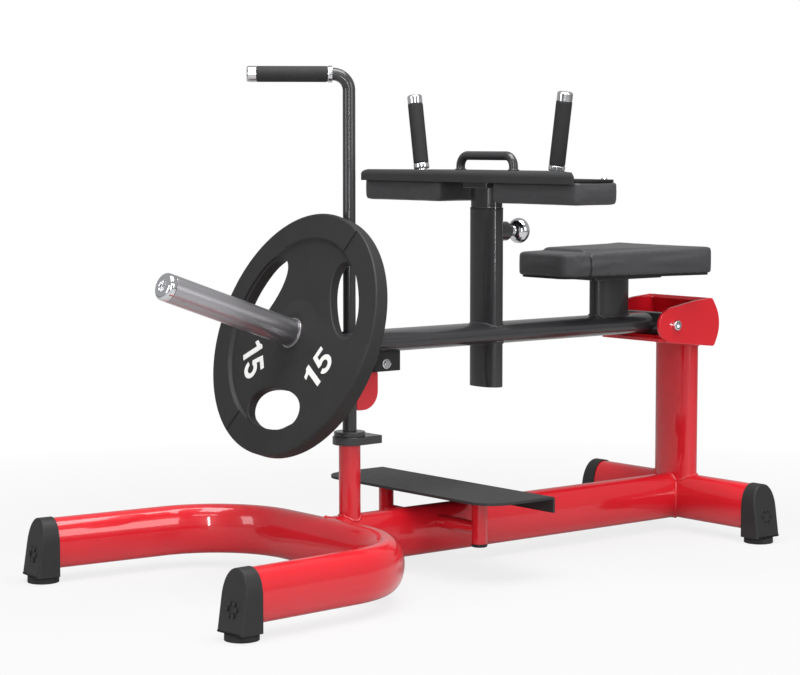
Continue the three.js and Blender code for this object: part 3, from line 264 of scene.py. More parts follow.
plain = {"Specular_IOR_Level": 0.3}
leathery = {"Specular_IOR_Level": 0.3, "Sheen_Weight": 0.06}
cap_plastic = moulded("cap_plastic", (41, 41, 42), (36, 36, 37), 0.48, 0.12, 900.0, 0.00005, **plain)
rubber = moulded("rubber", (44, 44, 45), (36, 36, 37), 0.66, 0.16, 700.0, 0.00010, **plain)
plate_rubber = moulded("plate_rubber", (40, 39, 39), (34, 34, 34), 0.50, 0.12, 650.0, 0.00008, **plain)
vinyl, seat_vinyl = (
    moulded(name, (62, 62, 64), (55, 55, 57), 0.46, 0.10, 620.0, 0.00016, seam_x, **leathery)
    for name, seam_x in (("vinyl", None), ("seat_vinyl", -0.3325)))
board_paint = moulded("board_paint", (32, 32, 33), (26, 26, 27), 0.60, 0.16, 480.0, 0.00010,
                      Specular_IOR_Level=0.2)
marking = moulded("marking", (238, 238, 236), (226, 226, 224), 0.45, 0.10, 800.0, 0.00003)
print("grainy finishes:", cap_plastic.name, rubber.name, plate_rubber.name, vinyl.name, board_paint.name)

# %% [markdown]
# ## Metal
# Chrome is nearly a mirror, and a faint change in roughness keeps it real. The horn is bright turned steel:
# a lathe leaves fine rings round it, so the noise is squeezed hard along the bar. Turning the pattern first
# lets it follow a bar that leans.

# %% Bright finishes
def turned_metal(name, light, dark, shine, spread, along=(1, 0, 0), rings=500.0):
    """Noise that changes `rings` times a metre along one direction and slowly across it, as a lathe marks."""
    made = Finish(name, Metallic=1.0)
    turn = Vector(along).rotation_difference(Vector((1, 0, 0))).to_euler()
    lines = made.cloud(1.0, made.place((rings, 30.0, 30.0), tuple(turn)), 2.0)
    made.shade("Base Color", made.between(lines, tint(*light), tint(*dark)))
    made.shade("Roughness", shine + spread * lines)
    made.relief(lines, 0.000008, 0.4)
    return made.material


horn_tilt = math.radians(19.25)
horn_heading = np.array([math.cos(horn_tilt), 0, math.sin(horn_tilt)])
horn_up = np.array([-math.sin(horn_tilt), 0, math.cos(horn_tilt)])
horn_steel = turned_metal("horn_steel", (186, 184, 188), (176, 174, 178), 0.30, 0.06, horn_heading)
steel = turned_metal("steel", (172, 172, 175), (156, 156, 159), 0.26, 0.10)
bronze = turned_metal("bronze", (190, 150, 92), (160, 122, 70), 0.30, 0.16, (0, 1, 0))


def chrome_plate(name):
    """A bright mirror whose roughness is 0.05 + 0.07 × cloud."""
    made = Finish(name, Metallic=1.0)
    where = made.place()
    haze = made.cloud(38.0, where)
    made.shade("Base Color", made.between(haze, tint(226, 227, 230), tint(212, 213, 217)))
    made.shade("Roughness", 0.05 + 0.07 * haze)
    made.relief(made.cloud(160.0, where, 1.0), 0.00002, 0.3)
    return made.material


chrome = chrome_plate("chrome")
print("metals:", horn_steel.name, steel.name, bronze.name, chrome.name)

# %% [markdown]
# ## Surfaces from arrays
# Every piece is a stack of rings of points, worked out as whole arrays, so a bent tube, a turned knob and a
# rounded plate are the same few lines. The volume that the rings enclose tells which way round the faces
# have to run to look outwards.

# %% Rings to faces
def unit(vectors):
    """Each vector divided by its length."""
    return vectors / np.maximum(np.linalg.norm(vectors, axis=-1, keepdims=True), 1e-12)


def whole_turn(steps):
    return np.linspace(0, 2 * np.pi, steps, endpoint=False)


def skin(rings, loop=False):
    """Quads from ring to ring. Open stacks end in flat faces; a loop joins its last ring to its first. The
    volume is a sixth of the sum of a·(b×c) over all triangles; where it is negative every face is turned."""
    count, around = rings.shape[:2]
    index = np.arange(count * around).reshape(count, around)
    low = index if loop else index[:-1]
    high = np.roll(index, -1, axis=0) if loop else index[1:]
    quads = np.stack([low, np.roll(low, -1, 1), np.roll(high, -1, 1), high], axis=-1).reshape(-1, 4)
    caps = [] if loop else [index[0, ::-1], index[-1]]
    points = rings.reshape(-1, 3).astype(float)
    centred = points - points.mean(0)
    fans = [np.stack([np.full(len(cap) - 2, cap[0]), cap[1:-1], cap[2:]], 1) for cap in caps]
    corners = np.concatenate([quads[:, [0, 1, 2]], quads[:, [0, 2, 3]], *fans])
    a, b, c = (centred[corners[:, side]] for side in range(3))
    if np.einsum("ij,ij->", a, np.cross(b, c)) < 0:
        quads, caps = quads[:, ::-1], [cap[::-1] for cap in caps]
    return points, quads, caps

# %% Outlines
def oval(width, height, steps=96, fullness=2.2):
    """At turn t: half the width times cos t to the power 2/fullness, half the height times sin t likewise."""
    turn = whole_turn(steps)
    round_up = lambda wave: np.sign(wave) * np.abs(wave) ** (2 / fullness)
    return np.stack([width / 2 * round_up(np.cos(turn)), height / 2 * round_up(np.sin(turn))], 1)


def circle(radius, steps=48):
    """The oval whose two powers are 1. With six steps it is a hexagon."""
    return oval(2 * radius, 2 * radius, steps, 2.0)


def soften(corners, radii, closed=True, steps=7):
    """Rounds corners. An arc starts and ends at radius / tan(half angle) from its corner, and at share s of
    its swing a, the spoke is (first·sin((1 - s)a) + last·sin(s·a)) / sin a. In the plane and in space."""
    corners = np.asarray(corners, float)
    radii = np.broadcast_to(np.asarray(radii, float), len(corners))[:, None]
    back = unit(np.roll(corners, 1, 0) - corners)
    onward = unit(np.roll(corners, -1, 0) - corners)
    half = np.arccos(np.clip((back * onward).sum(1, keepdims=True), -1, 1)) / 2
    half = np.clip(half, 1e-6, np.pi / 2 - 1e-6)
    centre = corners + unit(back + onward) * radii / np.sin(half)
    first = corners + back * radii / np.tan(half) - centre
    last = corners + onward * radii / np.tan(half) - centre
    swing = (np.pi - 2 * half)[:, None]
    share = np.linspace(0, 1, steps + 1)[None, :, None]
    spokes = first[:, None] * np.sin((1 - share) * swing) + last[:, None] * np.sin(share * swing)
    arcs = centre[:, None] + spokes / np.sin(swing)
    size = corners.shape[1]
    if closed:
        return arcs.reshape(-1, size)
    return np.concatenate([corners[:1], arcs[1:-1].reshape(-1, size), corners[-1:]])


def rectangle(x0, x1, y0, y1, radii, steps):
    """From x0 to x1 and from y0 to y1, with rounded corners."""
    return soften([(x0, y0), (x1, y0), (x1, y1), (x0, y1)], radii, steps=steps)


def inset(outline, distance):
    """Each point moved inwards, square to the line between its two neighbours."""
    along = unit(np.roll(outline, -1, 0) - np.roll(outline, 1, 0))
    return outline + distance * np.stack([-along[:, 1], along[:, 0]], 1)


def anticlockwise(outline):
    """The outline, turned round where its area, half the sum of x·y' - x'·y, is negative."""
    onward = np.roll(outline, -1, 0)
    area = (outline[:, 0] * onward[:, 1] - onward[:, 0] * outline[:, 1]).sum()
    return outline if area > 0 else outline[::-1]

# %% Plates and straight pieces
def lay(flat, height, origin=(0, 0, 0), right=X, up=Y, out=Z):
    """Point (u, v) at height w goes to origin + u·right + v·up + w·out."""
    height = np.broadcast_to(height, len(flat))[:, None]
    return np.asarray(origin, float) + flat[:, :1] * right + flat[:, 1:] * up + height * out


def slab(outline, low, high, edge=1.0, steps=4, **frame_of):
    """A flat plate with rounded edges: at turn a of the edge the outline is drawn in by edge·(1 - sin a), and
    the height is low + edge·(1 - cos a), and the same from the top."""
    outline = anticlockwise(outline)
    turn = np.linspace(0, np.pi / 2, steps + 1)
    inward = edge * (1 - np.sin(turn))
    rise = edge * (1 - np.cos(turn))
    levels = zip([*inward, *inward[::-1]], [*(low + rise), *(high - rise[::-1])])
    return skin(np.stack([lay(inset(outline, draw), level, **frame_of) for draw, level in levels]))


def prism(outline, low, high, **frame_of):
    """A straight piece between two heights. Each is one number, or a number for each point."""
    return skin(np.stack([lay(outline, level, **frame_of) for level in (low, high)]))


def oval_tube(width, height, wall, start, end, steps=112, **frame_of):
    """Four rings, outer start and end and inner end and start, that close on themselves."""
    outer, inner = oval(width, height, steps), oval(width - 2 * wall, height - 2 * wall, steps)
    rings = ((outer, start), (outer, end), (inner, end), (inner, start))
    return skin(np.stack([lay(flat, level, **frame_of) for flat, level in rings]), loop=True)

# %% Turned pieces and swept tubes
def turned(corners, origin=(0, 0, 0), out=Z, steps=72, loop=False, arc=4):
    """Carries a profile, given as corners (radius, height, rounding), round its axis: origin + height·out +
    radius·(cos·side + sin·top). A corner that names no rounding gets 0.1 mm."""
    corners = np.array([(*corner, 0.1)[:3] for corner in corners], float)
    return lathe(soften(corners[:, :2], corners[:, 2], loop, arc), origin, out, steps, loop)


def lathe(profile, origin, out, steps, loop=False):
    """The same for a profile of finished points (radius, height)."""
    out = unit(np.asarray(out, float))
    side = unit(np.cross(out, X if abs(out[0]) < 0.9 else Y))
    top = np.cross(out, side)
    turn = whole_turn(steps)
    spokes = np.cos(turn)[:, None] * side + np.sin(turn)[:, None] * top
    profile = np.asarray(profile, float)
    rings = np.asarray(origin, float) + profile[:, 1, None, None] * out + profile[:, 0, None, None] * spokes
    return skin(rings, loop)


def sweep(section, path, normal):
    """Carries a section along a path in one plane: path + u·(heading × normal) + v·normal."""
    path = np.asarray(path, float)
    side = unit(np.cross(unit(np.gradient(path, axis=0)), normal))
    normal = np.broadcast_to(unit(np.asarray(normal, float)), side.shape)
    rings = path[:, None] + section[None, :, :1] * side[:, None] + section[None, :, 1:] * normal[:, None]
    return skin(rings)

# %% [markdown]
# ## From shells to pieces
# A welded part is one piece, so a piece is made from a list of shells. Holes are cut with a Boolean, as a
# drill does in steel. Smooth shading that breaks at sharp angles, with normals weighted by area, keeps flat
# faces flat beside their rounded edges.


def mesh_of(name, shells):
    """All shells of a piece in one mesh, from millimetres to metres."""
    points, faces, start = [], [], 0
    for spots, quads, caps in shells:
        faces += (quads + start).tolist() + [(cap + start).tolist() for cap in caps]
        points.append(spots)
        start += len(spots)
    mesh = bpy.data.meshes.new(name)
    mesh.from_pydata((np.concatenate(points) * MM).tolist(), [], faces)
    mesh.update()
    return mesh


def settle(thing):
    """The object with its mesh as its modifiers leave it, and no modifier kept."""
    bpy.context.view_layer.update()
    seen = thing.evaluated_get(bpy.context.evaluated_depsgraph_get())
    mesh = bpy.data.meshes.new_from_object(seen)
    thing.modifiers.clear()
    thing.data = mesh
    return thing


def modify(thing, kind, **settings):
    """Adds a modifier with its settings."""
    step = thing.modifiers.new(kind.lower(), kind)
    for setting, value in settings.items():
        setattr(step, setting, value)
    return step


def carve(thing, cuts):
    """Takes the cuts out of the thing, one exact Boolean each."""
    for cut in cuts:
        tool = add("cut", mesh_of("cut", [cut]))
        modify(thing, "BOOLEAN", operation="DIFFERENCE", solver="EXACT", object=tool)
        settle(thing)
        bpy.data.objects.remove(tool)


def thicken(thing, wall, edge):
    """Gives an open sheet a wall on its inner side, and rounds the cut edges."""
    modify(thing, "SOLIDIFY", thickness=wall * MM, offset=-1, use_even_offset=True)
    modify(thing, "BEVEL", width=edge * MM, segments=3, angle_limit=math.radians(50))
    settle(thing)


def shade_smooth(mesh):
    mesh.polygons.foreach_set("use_smooth", np.ones(len(mesh.polygons), bool))


def dress(thing, material, body, stands_for):
    """The piece's finish and body; the CAD node that it stands for, where it has one, is hidden."""
    thing.data.materials.clear()
    thing.data.materials.append(material)
    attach(thing, body)
    if stands_for:
        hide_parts(stands_for)
    print(f"{thing.name}: {len(thing.data.polygons)} faces on {body}")


def piece(name, shells, material, body, stands_for="", cuts=(), crease=32.0, wall=0.0):
    """One finished piece from its shells. Its shading breaks where faces meet at more than the crease."""
    thing = add(name, mesh_of(name, shells))
    carve(thing, cuts)
    if wall:
        thicken(thing, wall, 0.7)
    shade_smooth(thing.data)
    thing.data.set_sharp_from_angle(angle=math.radians(crease))
    modify(thing, "WEIGHTED_NORMAL", keep_sharp=True)
    dress(thing, material, body, stands_for)

# %% [markdown]
# ## The base
# One oval tube makes a long beam, a cross tube under the post, and a fork bent from a single length. A bent
# tube keeps its section, so the fork is one oval carried along straights and arcs.

# %% Beam, fork and cross tube
beam_wide, beam_high, beam_z = 60.0, 93.5, 69.75
rear_x, cross_half, cross_end = -660.0, 258.0, 26.0
fork_x, fork_bend, fork_tip = 255.0, 175.0, np.array([690.0, 316.0])
flare = math.radians(4.5)
tip_heading = np.array([math.cos(flare), math.sin(flare)])
tube_end = fork_tip - tip_heading * cross_end
fork_corner_y = fork_tip[1] - (fork_tip[0] - fork_x) * math.tan(flare)
fork_path = soften(
    [(tube_end[0], -tube_end[1], beam_z), (fork_x, -fork_corner_y, beam_z),
     (fork_x, fork_corner_y, beam_z), (tube_end[0], tube_end[1], beam_z)],
    fork_bend, closed=False, steps=36)
beam_path = [(rear_x + 5, 0, beam_z), (fork_x - 5, 0, beam_z)]
cross_path = [(rear_x, y, beam_z) for y in (cross_end - cross_half, cross_half - cross_end)]
base_section = oval(beam_wide, beam_high)
for name, path, node in (("fork", fork_path, "front_fork"), ("beam", beam_path, "main_beam"),
                         ("cross_tube", cross_path, "rear_cross_tube")):
    piece(name, [sweep(base_section, path, Z)], red_paint, "base", node)

# %% [markdown]
# ## Welds
# Where two tubes meet, a bead runs along the line that both skins share, and the paint flows over it. Each
# point of one tube's oval reaches the other tube where that one's oval formula says so. A thin tube with
# small ripples is carried along that line.

# %% Weld beads
def bead(path, away, radius, ripples):
    """A tube along a closed path, its radius r·(1 + 0.07·sin(ripples·turn)). `away` points off the joint."""
    heading = unit(np.roll(path, -1, 0) - np.roll(path, 1, 0))
    side = unit(away - (away * heading).sum(1, keepdims=True) * heading)
    top = np.cross(heading, side)
    swell = radius * (1 + 0.07 * np.sin(ripples * whole_turn(len(path))))
    ring_of = circle(1.0, 12)
    spokes = ring_of[None, :, :1] * side[:, None] + ring_of[None, :, 1:] * top[:, None]
    return skin(path[:, None] + swell[:, None, None] * spokes, loop=True)


def reach(offset, across, along, fullness=2.2):
    """How far an oval tube's skin is from its middle: across/2·(1 - |offset / (along/2)|ⁿ)^(1/n)."""
    return across / 2 * np.clip(1 - np.abs(offset / (along / 2)) ** fullness, 0, None) ** (1 / fullness)


def saddle(foot, middle, high, wide, at_x, side=1):
    """The line where an upright tube with this foot meets the upper or lower skin of a lying oval tube."""
    return lay(foot, middle + side * reach(foot[:, 1], high, wide), (at_x, 0, 0))


tee = oval(beam_wide, beam_high, 360)
tee_reach = reach(tee[:, 1], beam_wide, beam_high)
rear_joint = np.stack([rear_x + tee_reach, tee[:, 0], beam_z + tee[:, 1]], 1)
front_joint = np.stack([fork_x - tee_reach, tee[:, 0], beam_z + tee[:, 1]], 1)
spread = np.stack([np.zeros(len(tee)), tee[:, 0], tee[:, 1]], 1)
post_wide, post_deep = 107.0, 50.0
foot = oval(post_deep, post_wide, 360)
on_cross = reach(foot[:, 0], beam_high, beam_wide)
on_beam = np.where(foot[:, 0] > 0, reach(foot[:, 1], beam_high, beam_wide), 0)
post_joint = lay(foot, beam_z + np.maximum(on_cross, on_beam), (rear_x, 0, 0))
base_beads = [bead(rear_joint, spread + 30 * X, 3.0, 90), bead(front_joint, spread - 30 * X, 3.0, 90),
              bead(post_joint, lay(foot, 40.0), 3.4, 96)]
piece("base_welds", base_beads, red_paint, "base")

# %% [markdown]
# ## End caps and feet
# Each tube end has a moulded cap: bullet shaped on top, straight down at the sides, with an outer face that
# leans back and a ring of six dimples low on it. A round rubber foot stands out below. The cap is a stack of
# one outline, drawn in along a quarter circle at its face and sheared by the lean.

# %% Caps and feet
cap_wide, cap_high, cap_deep, cap_floor, cap_edge = 64.4, 97.9, 46.0, 12.0, 4.5
cap_lean, foot_back, dimple_count = 17.0, 27.2, 6
cap_low = cap_floor - beam_z
top_half = oval(cap_wide, cap_high, 96)[:49]
lower_corners = [top_half[-1], (-cap_wide / 2, cap_low), (cap_wide / 2, cap_low), top_half[0]]
lower_half = soften(lower_corners, 1.2, closed=False, steps=4)[1:-1]
cap_outline = np.concatenate([top_half, lower_half])


def leaning(height, depth=0.0):
    """How far back a point is moved: lean·h at the face, less towards the mouth, with h from 0 to 1."""
    return cap_lean * (height - cap_low) / (cap_high / 2 - cap_low) * (1 + depth / cap_deep)


def cap_shell(face, side, heading):
    """Rings of the cap's outline; over the last few millimetres it draws in by edge·(1 - cos a)."""
    turn = np.linspace(0, np.pi / 2, 7)
    depths = np.concatenate([[-cap_deep, 0.4 - cap_deep], -cap_edge * (1 - np.sin(turn))])
    inward = np.concatenate([[0.4, 0.0], cap_edge * (1 - np.cos(turn))])
    flats = [inset(cap_outline, i) for i in inward]
    rings = [lay(flat, d - leaning(flat[:, 1], d), face, side, Z, heading) for flat, d in zip(flats, depths)]
    return skin(np.stack(rings))


def dimple(face, side, heading, turn, ring=11.0, drop=17.0):
    """A small blind hole with a domed floor, at a turn round the ring."""
    rise = ring * math.sin(turn) - drop
    spot = face + side * ring * math.cos(turn) + Z * rise - heading * leaning(rise)
    return turned([(3.0, -2.2), (4.0, -1.4, 0.8), (4.2, 3.0), (2.0, 3.0)], spot, heading, 24)


foot_profile = [(27.0, 0.0), (29.0, 0.6, 0.8), (29.0, 8.5, 0.6), (28.0, 9.2, 0.4), (28.0, 10.2, 0.4),
                (29.0, 11.0, 0.4), (29.0, 11.7, 0.2), (6.0, 11.7), (6.0, 18.0)]
left_ends = (("front", fork_tip, tip_heading), ("rear", (rear_x, cross_half), (0, 1)))
for end_name, (x, y), (ahead, aside) in left_ends:
    for side_name, sign in SIDES:
        corner = f"{end_name}_{side_name}"
        face = np.array([x, sign * y, beam_z])
        heading = np.array([ahead, sign * aside, 0])
        side = np.cross(Z, heading)
        piece(f"end_cap_{corner}", [cap_shell(face, side, heading)], cap_plastic, "base", f"cap_{corner}",
              [dimple(face, side, heading, turn) for turn in whole_turn(dimple_count)])
        under = (face - heading * foot_back) * (1, 1, 0)
        piece(f"rubber_foot_{corner}", [turned(foot_profile, under, Z, 64)], rubber, "base", f"foot_{corner}")

# %% [markdown]
# ## Rear post and yoke
# The post is a larger oval tube where beam and cross tube meet. The yoke on it is welded from two cheeks, a
# curved back and a sloping floor. The back is a strip of the cheeks' own outline, carried from cheek to
# cheek.

# %% Post
heel_back, heel_drop, toe_ahead, toe_drop = 113.0, 48.5, 17.0, 35.0
yoke_slope = math.atan2(heel_drop - toe_drop, heel_back + toe_ahead)
pivot = np.array([-564.0, 0.0, 432.5])
heel_x, heel_z = pivot[0] - heel_back, pivot[2] - heel_drop
on_rear = {"origin": (rear_x, 0, 0)}


def under_yoke(outline):
    """Height of the yoke's sloping underside over the points of an outline round the post."""
    return heel_z + (rear_x + outline[:, 0] - heel_x) * math.tan(yoke_slope)


post_outline = oval(post_deep, post_wide, 120)
post = prism(post_outline, beam_z, under_yoke(post_outline) + 2, **on_rear)
piece("post", [post], red_paint, "base", "rear_post")

# %% Yoke
yoke_half, yoke_plate = 88.7, 7.0
yoke_corners = np.array([
    (-heel_back, -heel_drop, 8), (toe_ahead, -toe_drop, 36), (47, -20, 29), (47, 20, 29), (17, 35, 36),
    (-52, 46.5, 120), (-107, 51, 8), (-137, 2, 70)], float)
yoke_outline = soften(yoke_corners[:, :2] + pivot[[0, 2]], yoke_corners[:, 2], steps=14)
on_cheek = {"right": X, "up": Z, "out": Y}
for side_name, low in (("left", yoke_half - yoke_plate), ("right", -yoke_half)):
    cheek = slab(yoke_outline, low, low + yoke_plate, 1.4, **on_cheek)
    piece(f"yoke_cheek_{side_name}", [cheek], red_paint, "base", f"yoke_side_{side_name}")

yoke_outline = anticlockwise(yoke_outline)
from_nose = -np.argmax(yoke_outline[:, 0])
outside = np.roll(yoke_outline, from_nose, 0)
inside = np.roll(inset(yoke_outline, yoke_plate), from_nose, 0)
kept = outside[:, 0] < pivot[0] - 107 + yoke_plate / 2
strip = np.concatenate([outside[kept], inside[kept][::-1]])
wide = yoke_half - yoke_plate + 0.3
piece("yoke_back", [prism(strip, -wide, wide, **on_cheek)], red_paint, "base", "yoke_back_plate")
floor_along = np.array([math.cos(yoke_slope), 0, math.sin(yoke_slope)])
floor_up = np.array([-math.sin(yoke_slope), 0, math.cos(yoke_slope)])
floor_long = heel_back + 40 - 2 * yoke_plate
floor_start = np.array([heel_x, 0, heel_z]) + floor_along * 2 * yoke_plate
floor_plate = slab(rectangle(0, floor_long, -wide, wide, 0.6, 3), 0, yoke_plate, 0.6, origin=floor_start,
                   right=floor_along, up=Y, out=floor_up)
piece("yoke_floor", [floor_plate], red_paint, "base", "yoke_base_plate")
yoke_bead = bead(lay(foot, under_yoke(foot), **on_rear), lay(foot, -40.0), 3.0, 96)
piece("yoke_weld", [yoke_bead], red_paint, "base")

# %% [markdown]
# ## Pivot
# A bolt goes through the yoke and the barrel across the end of the lever. Its round head has a hex socket,
# and a hex nut on a washer holds it on the right.

# %% Bolt, nut and barrel
head_at = pivot + Y * (yoke_half + 0.3)
bolt = turned([(6, -192.5, 1.0), (6, 0), (10, 0, 0.2), (10, 6.6, 1.4), (8.0, 8.0, 0.8), (1.0, 8.0)],
              head_at, Y)
socket = slab(circle(4.6, 6), 3.0, 12.0, 0.05, origin=head_at, right=X, up=-Z, out=Y)
piece("pivot_bolt", [bolt], chrome, "base", "pivot_axle", [socket])
nut_at = pivot - Y * (yoke_half + 0.3)
washer = turned([(6.2, 0), (14, 0, 0.5), (14, 2.5, 0.8), (6.2, 2.5)], nut_at, -Y)
nut_body = slab(soften(circle(10.0, 6), 0.6, steps=3), 2.5, 12.5, 0.9, origin=nut_at, right=X, up=Z, out=-Y)
piece("pivot_nut_and_washer", [washer, nut_body], steel, "base", "pivot_nut")
barrel_corners = [(15, -78.5, 0.3), (24, -78.5, 1.2), (24, 78.5, 1.2), (15, 78.5, 0.3)]
piece("barrel", [turned(barrel_corners, pivot, Y, 96, loop=True)], black_paint, "lever", "pivot_barrel")

# %% [markdown]
# ## The lever
# The lever is one flat oval tube from the pivot to the horn bracket. It is hollow, which shows in the slot
# for the safety bar, so its section runs out along the outside and back along the inside.

# %% Lever tube
lever_z, lever_wide, lever_high, lever_end = 434.0, 100.0, 41.0, 248.0
on_lever = {"origin": (0, 0, lever_z), "right": Y, "up": Z, "out": X}
lever_shell = oval_tube(lever_wide, lever_high, 3, pivot[0] + 10, lever_end, 128, **on_lever)
lever_slot = slab(rectangle(179, 231, -17, 17, 3, 5), lever_z - 60, lever_z + 60, 0.1)
barrel_room = turned([(23.4, -90), (23.4, 90)], pivot, Y, 96)
piece("lever_beam", [lever_shell], black_paint, "lever", "lever_tube", [lever_slot, barrel_room])

# %% [markdown]
# ## Seat post and seat board
# A short upright oval tube carries a steel plate, and a plywood board is bolted to that. The cover is drawn
# down over the board, so only a thin dark line of it shows under the cushion.

# %% Seat post and board
seat_x, seat_deep, seat_wide = -463.0, 95, 50
at_seat = {"origin": (seat_x, 0, 0)}
seat_tube = prism(oval(seat_deep, seat_wide, 96), lever_z, 528.5, **at_seat)
seat_plate = slab(rectangle(-95, 95, -60, 60, 12, 6), 528, 534, 1.0, **at_seat)
seat_foot = oval(seat_deep, seat_wide, 360)
seat_bead = bead(saddle(seat_foot, lever_z, lever_high, lever_wide, seat_x), lay(seat_foot, 30.0), 2.6, 80)
piece("seat_upright", [seat_tube, seat_plate, seat_bead], black_paint, "lever", "seat_post")


def seat_outline(inward):
    """The seat's four rounded corners, wide at the rear and narrow at the front, drawn in by a distance."""
    rear, front, rear_half, front_half = -622 + inward, -272 - inward, 136 - inward, 74 - inward
    corners = [(rear, -rear_half), (front, -front_half), (front, front_half), (rear, rear_half)]
    return soften(corners, (6, 30, 30, 6), steps=12)


piece("seat_ply", [slab(seat_outline(6), 534.3, 545.3, 1.2)], board_paint, "lever", "seat_board")

# %% [markdown]
# ## Knee sleeve and pull pin
# An upright sleeve goes through the lever. A plastic liner with a lip guides the chrome knee tube in it, and
# a sprung pin with a flattened chrome ball holds the tube at one of its holes.

# %% Sleeve and liner
knee_x, pin_z = -135.0, 629.0
at_knee = {"origin": (knee_x, 0, 0)}


def pin_hole(height):
    """A hole for the pin, from the tube's middle out to the rear."""
    return turned([(5.3, 0), (5.3, 40)], (knee_x, 0, height), -X, 32)


sleeve_foot = oval(42, 80, 360)
sleeve_beads = [bead(saddle(sleeve_foot, lever_z, lever_high, lever_wide, knee_x, side),
                     lay(sleeve_foot, side * 30.0), 2.6, 70) for side in (1, -1)]
sleeve = oval_tube(42, 80, 3, 332, 672, **at_knee)
piece("sleeve", [sleeve], black_paint, "lever", "knee_sleeve", [pin_hole(pin_z)])
piece("sleeve_welds", sleeve_beads, black_paint, "lever")
lip = oval_tube(42.4, 80.4, 5.7, 672.3, 675.3, **at_knee)
liner = oval_tube(35.4, 73.4, 2.2, 562, 675, **at_knee)
piece("liner", [lip, liner], cap_plastic, "lever", "sleeve_bush", [pin_hole(pin_z)])

# %% Housing, pin and knob
housing_corners = [(9, 1.5), (9, 34), (5.2, 34), (5.2, 38, 0.2), (10.6, 38.3, 0.6),
                   (12, 37, 0.6), (12, 30, 0.5), (18.5, 29, 1.6), (18.5, -0.6, 0.4), (9, -0.6, 0.2)]
housing = turned(housing_corners, (knee_x - 21, 0, pin_z), -X, loop=True)
piece("housing", [housing], black_paint, "lever", "pin_housing")
pin_corners = [(3.6, 0), (5, 2.4, 0.6), (5, 16), (8, 16, 0.4), (8, 20, 0.4), (5, 20),
               (5, 66, 0.6), (1, 66)]
pin_tip, knob_end = (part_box(node)[1][0] / MM for node in ("pull_pin", "pull_knob"))
piece("pin", [turned(pin_corners, (pin_tip, 0, pin_z), -X, 48)], steel, "pull_pin", "pull_pin")
ball_radius, ball_half, ball_middle = 24.5, 18.5, 22.9
ball_turn = np.linspace(math.asin(11 / ball_radius), np.pi - 0.03, 40)
ball = np.stack([ball_radius * np.sin(ball_turn), ball_middle - ball_half * np.cos(ball_turn)], 1)
knob_profile = np.concatenate([[(5.4, 6), (5.4, 0.2), (10.4, 0), (11, 0.6), (11, 4.4)], ball])
piece("knob", [lathe(knob_profile, (knob_end, 0, pin_z), -X, 96)], chrome, "pull_pin", "pull_knob")

# %% [markdown]
# ## Knee tube, mount and top plate
# The knee tube is a chrome oval with a row of seven holes. A collar and a plate on its head carry a folded
# sheet that spans both pads, wide at the front, where its edge is folded down, and narrow at the back. A
# folded sheet is a profile along one direction and a width across it.

# %% Knee tube and mount
hole_count, hole_step = 7, 25
tube_low, tube_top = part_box("knee_inner_tube")
tube_deep, tube_wide = (tube_top[0] - tube_low[0]) / MM, (tube_top[1] - tube_low[1]) / MM
knee_tube = oval_tube(tube_deep, tube_wide, 2.5, 350, 736.4, **at_knee)
piece("knee_tube", [knee_tube], chrome, "knee_unit", "knee_inner_tube",
      [pin_hole(pin_z - hole_step * number) for number in range(hole_count)])
collar = prism(oval(tube_deep + 8.6, tube_wide + 8.6, 112), 676, 737, **at_knee)
mount = slab(rectangle(-32, 32, -36, 36, 4, 6), 712.6, 741.7, 1.2, **at_knee)
piece("mount", [collar, mount], black_paint, "knee_unit", "knee_mount_block")

# %% Folded sheets
def folded_sheet(profile, half_width, across=49):
    """The outer face of a sheet folded along Y: point (x, z) of the profile goes to y = s·half_width(x), with
    s from -1 to 1. The faces are turned so that the flat part looks up; the wall is added inside."""
    y = np.linspace(-1, 1, across)[:, None] * half_width(profile[:, 0])[None]
    x, z = (np.broadcast_to(line, y.shape) for line in profile.T)
    points = np.stack([x, y, z], -1)
    index = np.arange(y.size).reshape(y.shape)
    quads = np.stack([index[:-1, :-1], index[:-1, 1:], index[1:, 1:], index[1:, :-1]], -1).reshape(-1, 4)
    points = points.reshape(-1, 3)
    a, b, c = (points[quads[:, side]] for side in (0, 1, 2))
    upward = np.cross(b - a, c - b)[:, 2].sum() > 0
    return points, quads if upward else quads[:, ::-1], []


sheet_rear, sheet_front, sheet_top, sheet_corner = -194.0, -70.0, 746.0, 12
rear_half, front_half = 141, 307


def top_half_width(x):
    """From 141 mm at the rear edge to 307 mm at the front, with 12 mm rounded rear corners."""
    from_edge = x - sheet_rear
    straight = rear_half + (front_half - rear_half) * from_edge / (sheet_front - sheet_rear)
    past = np.clip(sheet_corner - from_edge, 0, sheet_corner)
    return np.minimum(straight, front_half) - (sheet_corner - np.sqrt(sheet_corner**2 - past**2))


fold = soften([(sheet_rear, sheet_top), (sheet_front, sheet_top), (sheet_front, sheet_top - 22)], 10.0,
              closed=False, steps=12)
rear_steps = np.stack([np.linspace(sheet_rear, sheet_rear + 14, 9)[:-1], np.full(8, sheet_top)], 1)
fold = np.concatenate([rear_steps, fold[1:]])
piece("top_sheet", [folded_sheet(fold, top_half_width)], sheet_black, "knee_unit", "knee_top_plate", wall=4.0)

